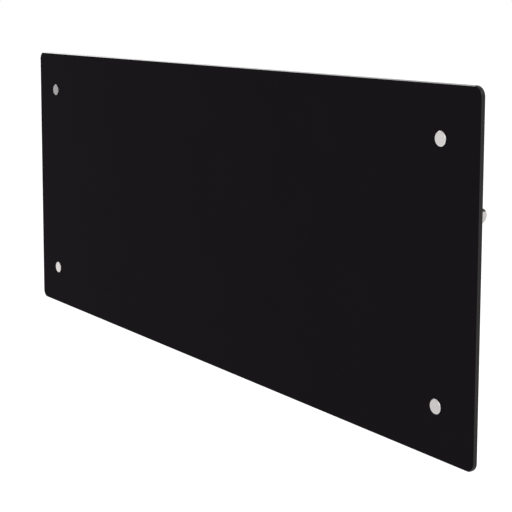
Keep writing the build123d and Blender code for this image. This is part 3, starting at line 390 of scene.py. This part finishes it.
# The finish of each of the record's material slots.
FINISHES = {
    # Toughened glass, enamelled black; its faces get their own finishes further on.
    "black_glass": glass_face(),
    # Lathe-faced satin stainless caps.
    "satin_stainless": turned_steel(),
    # Clear polypropylene washers under the caps.
    "clear_washer": moulding("polypropylene_washer", "CFCFCF", "C4C4C4", 0.2, 0.3, 0.8, 0.004),
    # Natural nylon sleeves.
    "nylon": moulding("natural_nylon", "E2DDD0", "D6D0C0", 0.4, 0.5, 0.6, 0.01),
    # Grey silicone strip and washers.
    "silicone": moulded_rubber("grey_silicone", "6E6E6D", "616160"),
    # Moulded nitrile rubber.
    "black_rubber": moulded_rubber("nitrile_rubber", "1D1D1D", "151515"),
    # Bright zinc plate on steel fixings.
    "zinc_steel": plated_metal("zinc_plate", "C2C6C9", "A9AEB2", 0.24, 0.38),
    # Turned brass: earth stud and nuts, terminals and thermostat bush.
    "brass": plated_metal("turned_brass", "CDAA62", "B79450", 0.22, 0.34),
    # Tinned copper earth ring: greyer and duller than zinc.
    "tinned_copper": plated_metal("tinned_copper", "C9C5BD", "B4AFA6", 0.3, 0.42),
    # Powder-coated casing and rear cover.
    "black_powder_coat": powder_coat(),
    # Galvanised bracket, hanger rail, partition and retaining bars.
    "galvanised_steel": galvanised_sheet(),
    # The element: etched foil between two amber films.
    "element_film": polyimide_film(),
    "resistance_foil": rolled_sheet("resistance_foil", "9A958F", "86817B", 0.26, 0.36),
    # Mill-finished aluminium heat spreader.
    "aluminium_sheet": rolled_sheet("mill_aluminium", "D9DBDC", "C9CBCD", 0.3, 0.42),
    # Insulation behind the element.
    "fibre_board": fibre_board(),
    # Phenolic and other thermoset mouldings of the controls, and the switch's polished rocker.
    "black_moulding": moulding("phenolic_moulding", "1A1A1B", "141415", 0.34, 0.46, 0.7, 0.015),
    "ivory_moulding": moulding("thermoset_moulding", "D9D1B6", "CCC3A6", 0.4, 0.52, 0.6, 0.012),
    "rocker_moulding": moulding("polished_moulding", "161617", "121213", 0.12, 0.18, 2.5, 0.004),
    # Silicone-insulated leads.
    "brown_lead": moulding("brown_insulation", "5E3D24", "4F321C", 0.42, 0.52, 0.9, 0.01),
    "blue_lead": moulding("blue_insulation", "2A5CA6", "234E8F", 0.42, 0.52, 0.9, 0.01),
    "earth_lead": earth_insulation(),
    # Black nylon cord gland.
    "black_nylon": moulding("black_nylon", "18181A", "121214", 0.4, 0.54, 0.9, 0.02),
    # Light grey ABS with a fine spark-eroded texture, and its darker marker.
    "knob_moulding": moulding("grey_abs", "DEDAD8", "D7D3D1", 0.4, 0.5, 0.35, 0.012),
    "marker_moulding": moulding("dark_abs", "2A2829", "232122", 0.36, 0.46, 0.35, 0.012),
}


def dress(piece, material):
    """Gives every material slot of a piece one material."""
    if not piece.material_slots:
        piece.data.materials.append(material)
    for place in piece.material_slots:
        place.material = material


for name, piece in nodes.items():
    dress(piece, FINISHES[slot_of[name]])


# --- Pieces made over the solids -----------------------------------------------------------------
def merged_copy(node, name):
    """A CAD piece's mesh with its doubles merged and its flat faces joined, as a new object."""
    mesh = nodes[node].data.copy()
    mesh.name = name
    work = bmesh.new()
    work.from_mesh(mesh)
    bmesh.ops.remove_doubles(work, verts=work.verts, dist=DOUBLES)
    bmesh.ops.dissolve_limit(
        work, angle_limit=math.radians(FLAT_DEG), verts=work.verts, edges=work.edges,
        use_dissolve_boundaries=False,
    )
    work.to_mesh(mesh)
    work.free()
    piece = bpy.data.objects.new(name, mesh)
    bpy.context.scene.collection.objects.link(piece)
    return piece


def ease(piece, edge_mm, angle_deg=28, segments=2):
    """Smooths a piece and eases its sharp edges; with no width they stay crisp.

    Every edge gets its full, even width. The overlap clamp would shrink the whole piece's easing to
    what its narrowest strip allows, and sliding would fold the face over beside a hole.
    """
    for face in piece.data.polygons:
        face.use_smooth = True
    if edge_mm:
        bevel = piece.modifiers.new("eased edges", "BEVEL")
        bevel.width = edge_mm * MM
        bevel.segments = segments
        bevel.limit_method = "ANGLE"
        bevel.angle_limit = math.radians(angle_deg)
        bevel.use_clamp_overlap = False
        bevel.loop_slide = False
        bevel.harden_normals = True
    else:
        piece.data.set_sharp_from_angle(angle=math.radians(angle_deg))
    plain = piece.modifiers.new("flat faces first", "WEIGHTED_NORMAL")
    plain.keep_sharp = True


def stand_for(piece, *names):
    """A piece stands in for the CAD nodes named: they are hidden, and it joins their body."""
    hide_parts(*names)
    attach(piece, nodes[names[0]]["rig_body"])


def eased_copy(node, name, edge_mm):
    """The CAD piece again with eased edges, in its own finish."""
    piece = merged_copy(node, name)
    dress(piece, FINISHES[slot_of[node]])
    ease(piece, edge_mm)
    stand_for(piece, node)


def glass_pane():
    """The pane: face, arrises, edge and enamelled back each have their own finish."""
    pane = merged_copy("glass_front", "glass_pane")
    pane.data.materials.clear()
    for material in (FINISHES["black_glass"], glass_arris(), glass_edge(), glass_enamel()):
        pane.data.materials.append(material)
    on_face, on_arris, on_edge, on_back = range(4)
    flat = 0.99
    slanted = 0.3
    for face in pane.data.polygons:
        facing = face.normal.y
        if facing < -flat:
            face.material_index = on_face
        elif facing > flat:
            face.material_index = on_back
        elif abs(facing) > slanted:
            face.material_index = on_arris
        else:
            face.material_index = on_edge
    ease(pane, 0.043, angle_deg=20, segments=1)
    stand_for(pane, "glass_front")


glass_pane()
# Width of each piece's eased edges in millimetres, within what its narrowest faces leave room for.
# The folds of the two end plates leave none.
EASED = {
    "rear_cover": 0.12,
    "casing_top_rail": 0.15,
    "casing_bottom_rail": 0.15,
    "casing_left_end": 0,
    "casing_right_end": 0,
    "knob": 0.03,
    "knob_marker": 0.1,
    "switch_housing": 0.2,
    "rocker": 0.2,
    "bush_nut": 0.25,
    "gland_body": 0.4,
    "gland_dome": 0.3,
    "gland_locknut": 0.3,
    "earth_stud": 0.2,
    "hanger_rail": 0.2,
    "upright_left": 0.25,
    "upright_right": 0.25,
    "crossbar": 0.25,
    "bracket_pads": 0.4,
}
for node, edge in EASED.items():
    eased_copy(node, node + "_finished", edge)


# --- Heads of fixings, turned and set out by Geometry Nodes --------------------------------------
def ports(tree, sizes):
    """Gives a tree its sockets, geometry in and out and a named input for each size.

    Returns the tree's input node.
    """
    tree.interface.new_socket("Places", in_out="INPUT", socket_type="NodeSocketGeometry")
    for label, value in sizes.items():
        kind = "NodeSocketInt" if isinstance(value, int) else "NodeSocketFloat"
        tree.interface.new_socket(label, in_out="INPUT", socket_type=kind)
    tree.interface.new_socket("Pieces", in_out="OUTPUT", socket_type="NodeSocketGeometry")
    return add(tree, "NodeGroupInput")


def shares(tree, ring, values):
    """One value for each ring of a turned shape; the switch's first input is the ring's number."""
    switch = add(tree, "GeometryNodeIndexSwitch", data_type="FLOAT")
    while len(switch.index_switch_items) < len(values):
        switch.index_switch_items.new()
    tree.links.new(ring, switch.inputs["Index"])
    for place, value in enumerate(values):
        switch.inputs[place + 1].default_value = value
    return switch.outputs[0]


def turned(tree, given, profile):
    """Closed shape turned about Z from (radius, height) shares, crown first and shank below zero."""
    sides = given.outputs["Sides"]
    column = add(tree, "FunctionNodeIntegerMath", {0: sides, 1: 1}, operation="ADD")
    grid = add(tree, "GeometryNodeMeshGrid", {
        "Size X": 1.0, "Size Y": 1.0, "Vertices X": len(profile), "Vertices Y": column.outputs[0],
    })
    index = add(tree, "GeometryNodeInputIndex")
    ring = add(tree, "FunctionNodeIntegerMath", {
        0: index.outputs[0], 1: column.outputs[0],
    }, operation="DIVIDE")
    step = add(tree, "FunctionNodeIntegerMath", {
        0: index.outputs[0], 1: column.outputs[0],
    }, operation="MODULO")
    part = add(tree, "ShaderNodeMath", {0: step.outputs[0], 1: sides}, operation="DIVIDE")
    angle = add(tree, "ShaderNodeMath", {0: part.outputs[0], 1: TURN}, operation="MULTIPLY")
    across = shares(tree, ring.outputs[0], [radius for radius, height in profile])
    reach = add(tree, "ShaderNodeMath", {
        0: across, 1: given.outputs["Head radius"],
    }, operation="MULTIPLY")
    flat = []
    for turn in ("COSINE", "SINE"):
        wave = add(tree, "ShaderNodeMath", {0: angle.outputs[0]}, operation=turn)
        flat.append(add(tree, "ShaderNodeMath", {
            0: reach.outputs[0], 1: wave.outputs[0],
        }, operation="MULTIPLY"))
    above = shares(tree, ring.outputs[0], [max(height, 0.0) for radius, height in profile])
    below = shares(tree, ring.outputs[0], [min(height, 0.0) for radius, height in profile])
    head = add(tree, "ShaderNodeMath", {
        0: above, 1: given.outputs["Head height"],
    }, operation="MULTIPLY")
    level = add(tree, "ShaderNodeMath", {
        0: below, 1: given.outputs["Shank length"], 2: head.outputs[0],
    }, operation="MULTIPLY_ADD")
    place = add(tree, "ShaderNodeCombineXYZ", {
        "X": flat[0].outputs[0], "Y": flat[1].outputs[0], "Z": level.outputs[0],
    })
    shape = add(tree, "GeometryNodeSetPosition", {
        "Geometry": grid.outputs["Mesh"], "Position": place.outputs[0],
    })
    closed = add(tree, "GeometryNodeMergeByDistance", {"Geometry": shape.outputs[0], "Distance": SEAM})
    return closed.outputs[0]


def cross_recess(tree, given, head):
    """Head with a cross-shaped driver recess cut in its crown."""
    double = add(tree, "ShaderNodeMath", {
        0: given.outputs["Recess depth"], 1: 2.0,
    }, operation="MULTIPLY")
    crown = add(tree, "ShaderNodeCombineXYZ", {"Z": given.outputs["Head height"]})
    cut = add(tree, "GeometryNodeMeshBoolean", {"Mesh 1": head}, operation="DIFFERENCE", solver="EXACT")
    for long, wide in (("X", "Y"), ("Y", "X")):
        size = add(tree, "ShaderNodeCombineXYZ", {
            long: given.outputs["Recess length"],
            wide: given.outputs["Recess width"],
            "Z": double.outputs[0],
        })
        bar = add(tree, "GeometryNodeMeshCube", {"Size": size.outputs[0]})
        placed = add(tree, "GeometryNodeTransform", {
            "Geometry": bar.outputs["Mesh"], "Translation": crown.outputs[0],
        })
        tree.links.new(placed.outputs[0], cut.inputs["Mesh 2"])
    return cut.outputs[0]


def end_tree(tree, instances, finish):
    """The tree's end: real geometry with its material."""
    real = add(tree, "GeometryNodeRealizeInstances", {"Geometry": instances})
    coated = add(tree, "GeometryNodeSetMaterial", {"Geometry": real.outputs[0], "Material": finish})
    add(tree, "NodeGroupOutput", {0: coated.outputs[0]})


def made_by(tree, sizes, places, name, sharp_deg):
    """Plain mesh object that the tree makes from its places, at the sizes given."""
    piece = bpy.data.objects.new(name, places)
    bpy.context.scene.collection.objects.link(piece)
    maker = piece.modifiers.new("set out", "NODES")
    maker.node_group = tree
    for socket in tree.interface.items_tree:
        if socket.in_out == "INPUT" and socket.name in sizes:
            maker[socket.identifier] = sizes[socket.name]
    bpy.context.view_layer.update()
    made = piece.evaluated_get(bpy.context.evaluated_depsgraph_get())
    mesh = bpy.data.meshes.new_from_object(made)
    piece.modifiers.clear()
    piece.data = mesh
    mesh.name = name
    work = bmesh.new()
    work.from_mesh(mesh)
    bmesh.ops.recalc_face_normals(work, faces=work.faces)
    work.to_mesh(mesh)
    work.free()
    for face in mesh.polygons:
        face.use_smooth = True
    mesh.set_sharp_from_angle(angle=math.radians(sharp_deg))
    return piece


def solids_of(node):
    """Lowest and highest corner of each loose solid of a CAD piece, in a fixed order."""
    micrometres = 6
    work = bmesh.new()
    work.from_mesh(nodes[node].data)
    bmesh.ops.remove_doubles(work, verts=work.verts, dist=DOUBLES)
    left = set(work.verts)
    boxes = []
    while left:
        found = [left.pop()]
        for vert in found:
            for edge in vert.link_edges:
                other = edge.other_vert(vert)
                if other in left:
                    left.remove(other)
                    found.append(other)
        low = [round(min(vert.co[axis] for vert in found), micrometres) for axis in range(3)]
        high = [round(max(vert.co[axis] for vert in found), micrometres) for axis in range(3)]
        boxes.append((low, high))
    work.free()
    return sorted(boxes)


def seats_of(node, axis, head_height, outward):
    """Mesh of seat points with the way each head faces, and the shank's length below the seat.

    A head faces the same way as its axis where outward is 1, the other way where it is -1, and away
    from the object's middle where it is 0. The solids of one piece are all alike.
    """
    seats = []
    facings = []
    for low, high in solids_of(node):
        middle = [(a + b) / 2 for a, b in zip(low, high)]
        way = outward if outward else math.copysign(1, middle[axis])
        crown = high[axis] if way > 0 else low[axis]
        middle[axis] = crown - way * head_height
        seats.append(middle)
        facing = [0.0, 0.0, 0.0]
        facing[axis] = way
        facings.extend(facing)
        length = high[axis] - low[axis] - head_height
    mesh = bpy.data.meshes.new(node + "_seats")
    mesh.from_pydata(seats, [], [])
    mesh.attributes.new("facing", "FLOAT_VECTOR", "POINT").data.foreach_set("vector", facings)
    return mesh, length


def fixings(node, name, profile, sizes, axis, outward, recessed=False, painted_reflections=None, sharp_deg=32):
    """Turned heads with their shanks over every solid of a CAD piece."""
    seats, length = seats_of(node, axis, sizes["Head height"], outward)
    if painted_reflections:
        # Each cap's painted reflection goes onto its seat as the shade attribute.
        seats.attributes.new("shade", "FLOAT", "POINT").data.foreach_set("value", painted_reflections)
    sizes = {**sizes, "Shank length": length, "Seed": SPIN_SEED}
    tree = bpy.data.node_groups.new(name + "_tree", "GeometryNodeTree")
    given = ports(tree, sizes)
    head = turned(tree, given, profile)
    if recessed:
        head = cross_recess(tree, given, head)
    facing = add(tree, "GeometryNodeInputNamedAttribute", {"Name": "facing"}, data_type="FLOAT_VECTOR")
    aligned = add(tree, "FunctionNodeAlignRotationToVector", {"Vector": facing.outputs[0]}, axis="Z")
    spin = add(tree, "FunctionNodeRandomValue", {
        "Max": given.outputs["Spin"], "Seed": given.outputs["Seed"],
    }, data_type="FLOAT")
    turn = add(tree, "FunctionNodeAxisAngleToRotation", {"Axis": (0, 0, 1), "Angle": spin.outputs[1]})
    rotation = add(tree, "FunctionNodeRotateRotation", {
        "Rotation": aligned.outputs[0], "Rotate By": turn.outputs[0],
    }, rotation_space="LOCAL")
    set_out = add(tree, "GeometryNodeInstanceOnPoints", {
        "Points": given.outputs["Places"], "Instance": head, "Rotation": rotation.outputs[0],
    })
    end_tree(tree, set_out.outputs[0], FINISHES[slot_of[node]])
    piece = made_by(tree, sizes, seats, name, sharp_deg)
    stand_for(piece, node)


# (share of the head's radius, share of its height), from the crown's middle to the shank's end.
CAP = (
    (0, 1), (0.3, 1), (0.6, 1), (0.922, 1), (0.938, 0.985), (0.952, 0.95), (0.99, 0.745),
    (0.998, 0.71), (1, 0.66), (1, 0.04), (0.985, 0),
    (0.4286, 0), (0.4286, -0.95), (0.37, -1), (0, -1),
)
PAN_HEAD = (
    (0, 1), (0.35, 0.995), (0.62, 0.97), (0.78, 0.925), (0.88, 0.85), (0.95, 0.74), (0.99, 0.6),
    (1, 0.46), (1, 0.05), (0.97, 0),
    (0.526, 0), (0.526, -0.9), (0.36, -1), (0, -1),
)
BLIND_RIVET = (
    (0, 0.6), (0.24, 0.6), (0.27, 0.64), (0.29, 0.93), (0.33, 0.995), (0.42, 1), (0.6, 0.93),
    (0.76, 0.79), (0.9, 0.58), (0.98, 0.36), (1, 0.2), (1, 0.04), (0.98, 0),
    (0.5, 0), (0.5, -0.92), (0.43, -1), (0, -1),
)
# Painted reflection of each cap, from 0, dark, to 1, pale: a darker or paler steel that stands in for
# the light each cap reflects. The left lower, left upper, right lower and right upper cap.
CAP_PAINTED_REFLECTIONS = [0.76, 0.0, 0.46, 0.68]
SPIN_SEED = 7
RIVET = {"Head radius": 3.2 * MM, "Head height": 1.1 * MM, "Sides": 28, "Spin": TURN}

fixings("fixing_caps", "satin_caps", CAP, {
    "Head radius": 7.0 * MM, "Head height": 1.5 * MM, "Sides": 72, "Spin": 0.0,
}, axis=Y_AXIS, outward=-1, painted_reflections=CAP_PAINTED_REFLECTIONS, sharp_deg=50)
fixings("cover_screws", "pan_head_screws", PAN_HEAD, {
    "Head radius": 3.8 * MM, "Head height": 2.4 * MM, "Sides": 36, "Spin": TURN,
    "Recess length": 4.4 * MM, "Recess width": 0.9 * MM, "Recess depth": 1.2 * MM,
}, axis=Y_AXIS, outward=1, recessed=True)
fixings("hanger_rail_rivets", "hanger_blind_rivets", BLIND_RIVET, RIVET, axis=Y_AXIS, outward=1)
fixings("crossbar_rivets", "crossbar_blind_rivets", BLIND_RIVET, RIVET, axis=Y_AXIS, outward=-1)
fixings("casing_rivets", "casing_blind_rivets", BLIND_RIVET, RIVET, axis=Z_AXIS, outward=0)


# --- Printed marks of the controls ---------------------------------------------------------------
# Pale pad-printing ink: a thin, even, satin film.
INK = moulding("pad_printing_ink", "E4E2DD", "DAD8D2", 0.4, 0.5, 0.4, 0.004)
INK_THICKNESS = 0.04 * MM
INK_DOT = ((0, 1), (0.8, 1), (0.93, 0.8), (1, 0.3), (1, 0), (0, 0))


def dial_dots():
    """Ring of printed dots round the knob, small at off and growing along its turn."""
    sizes = {
        "Dots": 11, "Ring radius": 10.7 * MM, "Sweep": math.radians(270), "Growth": 1.9, "Sides": 20,
        "Head radius": 0.36 * MM, "Head height": INK_THICKNESS, "Shank length": 0.0,
    }
    tree = bpy.data.node_groups.new("dial_dots_tree", "GeometryNodeTree")
    given = ports(tree, sizes)
    index = add(tree, "GeometryNodeInputIndex")
    last = add(tree, "ShaderNodeMath", {0: given.outputs["Dots"], 1: 1.0}, operation="SUBTRACT")
    part = add(tree, "ShaderNodeMath", {0: index.outputs[0], 1: last.outputs[0]}, operation="DIVIDE")
    angle = add(tree, "ShaderNodeMath", {
        0: part.outputs[0], 1: given.outputs["Sweep"],
    }, operation="MULTIPLY")
    sine = add(tree, "ShaderNodeMath", {0: angle.outputs[0]}, operation="SINE")
    cosine = add(tree, "ShaderNodeMath", {0: angle.outputs[0]}, operation="COSINE")
    forward = add(tree, "ShaderNodeMath", {0: sine.outputs[0], 1: -1.0}, operation="MULTIPLY")
    way = add(tree, "ShaderNodeCombineXYZ", {"Y": forward.outputs[0], "Z": cosine.outputs[0]})
    place = add(tree, "ShaderNodeVectorMath", {
        0: way.outputs[0], "Scale": given.outputs["Ring radius"],
    }, operation="SCALE")
    line = add(tree, "GeometryNodePoints", {
        "Count": given.outputs["Dots"], "Position": place.outputs[0],
    })
    scale = add(tree, "ShaderNodeMapRange", {
        "Value": part.outputs[0], "To Min": 1.0, "To Max": given.outputs["Growth"],
    })
    size = add(tree, "ShaderNodeCombineXYZ", {
        "X": scale.outputs["Result"], "Y": scale.outputs["Result"], "Z": 1.0,
    })
    set_out = add(tree, "GeometryNodeInstanceOnPoints", {
        "Points": line.outputs[0], "Instance": turned(tree, given, INK_DOT),
        "Rotation": (0, TURN / 4, 0), "Scale": size.outputs[0],
    })
    end_tree(tree, set_out.outputs[0], INK)
    dots = made_by(tree, sizes, bpy.data.meshes.new("dial_places"), "dial_dots", sharp_deg=40)
    low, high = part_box("spindle")
    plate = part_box("casing_right_end")[1].x
    dots.data.transform(Matrix.Translation((plate, (low.y + high.y) / 2, (low.z + high.z) / 2)))
    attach(dots, "heater")


def raised_ring(work, outer, inner, thickness, sides):
    """Flat ring of ink between two radii."""
    loops = []
    for radius, level in ((outer, 0), (outer, thickness), (inner, thickness), (inner, 0)):
        loop = []
        for step in range(sides):
            angle = TURN * step / sides
            loop.append(work.verts.new((radius * math.cos(angle), radius * math.sin(angle), level)))
        loops.append(loop)
    for place, loop in enumerate(loops):
        following = loops[(place + 1) % len(loops)]
        for step in range(sides):
            other = (step + 1) % sides
            work.faces.new((loop[step], loop[other], following[other], following[step]))


def raised_bar(work, width, length, thickness, sides):
    """Round-ended bar of ink along the second axis."""
    outline = []
    for step in range(sides):
        angle = TURN * (step + 0.5) / sides
        shift = math.copysign((length - width) / 2, math.sin(angle))
        outline.append((width / 2 * math.cos(angle), width / 2 * math.sin(angle) + shift))
    base = [work.verts.new((x, y, 0)) for x, y in outline]
    top = [work.verts.new((x, y, thickness)) for x, y in outline]
    work.faces.new(list(reversed(base)))
    work.faces.new(top)
    for step in range(sides):
        other = (step + 1) % sides
        work.faces.new((base[step], base[other], top[other], top[step]))


def merged_faces(node):
    """Centre, normal and area of each flat face of a CAD piece."""
    piece = merged_copy(node, "passing_copy")
    faces = [(face.center.copy(), face.normal.copy(), face.area) for face in piece.data.polygons]
    bpy.data.objects.remove(piece)
    return faces


def rocker_marks():
    """Printed I and O, one on each slanted face of the rocker."""
    outward = 0.85
    slants = [face for face in merged_faces("rocker") if face[1].x > outward]
    slants = sorted(slants, key=lambda face: face[2])[-2:]
    middle = sum(face[0].z for face in slants) / 2
    mesh = bpy.data.meshes.new("rocker_marks")
    work = bmesh.new()
    for centre, normal, _ in slants:
        mark = bmesh.new()
        if centre.z > middle:
            raised_ring(mark, outer=1.5 * MM, inner=1.05 * MM, thickness=INK_THICKNESS, sides=40)
        else:
            raised_bar(mark, width=0.5 * MM, length=3.0 * MM, thickness=INK_THICKNESS, sides=24)
        side = Vector((0, 1, 0))
        rise = normal.cross(side)
        turn = Matrix((side, rise, normal)).transposed().to_4x4()
        bmesh.ops.transform(mark, matrix=Matrix.Translation(centre) @ turn, verts=mark.verts)
        bmesh.ops.recalc_face_normals(mark, faces=mark.faces)
        passing = bpy.data.meshes.new("passing")
        mark.to_mesh(passing)
        mark.free()
        work.from_mesh(passing)
        bpy.data.meshes.remove(passing)
    work.to_mesh(mesh)
    work.free()
    mesh.materials.append(INK)
    marks = bpy.data.objects.new("rocker_marks", mesh)
    bpy.context.scene.collection.objects.link(marks)
    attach(marks, "rocker")


dial_dots()
rocker_marks()


# --- Floor, world and lamps ----------------------------------------------------------------------
def seen_by(tree, otherwise, seen):
    """A value for rays from the camera, reflections and glass, and another for all other rays."""
    path = add(tree, "ShaderNodeLightPath")
    total = path.outputs["Is Camera Ray"]
    for ray in ("Is Glossy Ray", "Is Transmission Ray"):
        either = add(tree, "ShaderNodeMath", {0: total, 1: path.outputs[ray]}, operation="MAXIMUM")
        total = either.outputs[0]
    value = add(tree, "ShaderNodeMapRange", {"Value": total, "To Min": otherwise, "To Max": seen})
    return value.outputs["Result"]


def make_floor():
    """Pale floor well below the heater; it keeps the shadow that falls on it."""
    mesh = bpy.data.meshes.new("floor")
    half = 30.0
    level = -1.3
    corners = [(-half, -half, level), (half, -half, level), (half, half, level), (-half, half, level)]
    mesh.from_pydata(corners, [], [(0, 1, 2, 3)])
    floor = bpy.data.objects.new("floor", mesh)
    bpy.context.scene.collection.objects.link(floor)
    material = bpy.data.materials.new("pale_floor")
    material.use_nodes = True
    tree = material.node_tree
    tree.nodes.clear()
    paint = add(tree, "ShaderNodeBsdfDiffuse", {"Color": linear("E9E9E9")})
    glow = add(tree, "ShaderNodeEmission", {
        "Color": linear("FFFFFF"), "Strength": seen_by(tree, otherwise=0.0, seen=0.5),
    })
    both = add(tree, "ShaderNodeAddShader", {0: paint.outputs[0], 1: glow.outputs[0]})
    add(tree, "ShaderNodeOutputMaterial", {"Surface": both.outputs[0]})
    mesh.materials.append(material)


def make_world():
    """White studio surround: plain soft light, and white where it is seen."""
    world = bpy.data.worlds.new("studio")
    bpy.context.scene.world = world
    world.use_nodes = True
    tree = world.node_tree
    tree.nodes.clear()
    sky = add(tree, "ShaderNodeBackground", {
        "Color": linear("FFFFFF"), "Strength": seen_by(tree, otherwise=0.8, seen=1.0),
    })
    add(tree, "ShaderNodeOutputWorld", {"Surface": sky.outputs[0]})


def soft_box(name, place, aim, width, length, radiance):
    """Soft box of the given sides and brightness; its length lies in the upright plane of its aim.

    The renderer spreads an area lamp's watts over pi times its area.
    """
    data = bpy.data.lights.new(name, "AREA")
    data.shape = "RECTANGLE"
    data.size = width
    data.size_y = length
    data.energy = radiance * math.pi * width * length
    lamp = bpy.data.objects.new(name, data)
    bpy.context.scene.collection.objects.link(lamp)
    direction = Vector(aim) - Vector(place)
    turn = direction.to_track_quat("-Z", "Y").to_matrix().to_4x4()
    lamp.matrix_world = Matrix.Translation(place) @ turn


make_floor()
make_world()
# A long, nearly level strip high beyond the left end. The glass's top arris mirrors it to the camera.
soft_box(
    "strip_box", place=(-2.02, -0.19, 1.54), aim=(-1.74, -0.19, 0.0),
    width=0.4, length=2.1, radiance=6.5,
)
# A broad box in front for the glass and caps, and one behind for the cover and bracket.
soft_box("front_box", place=(1.4, -2.4, 1.2), aim=(0, 0, 0), width=1.6, length=1.6, radiance=2.2)
soft_box("rear_box", place=(1.8, 1.7, 1.3), aim=(0, 0, 0), width=2.0, length=2.0, radiance=1.1)
make_camera()

bpy.context.scene.view_settings.view_transform = "Standard"
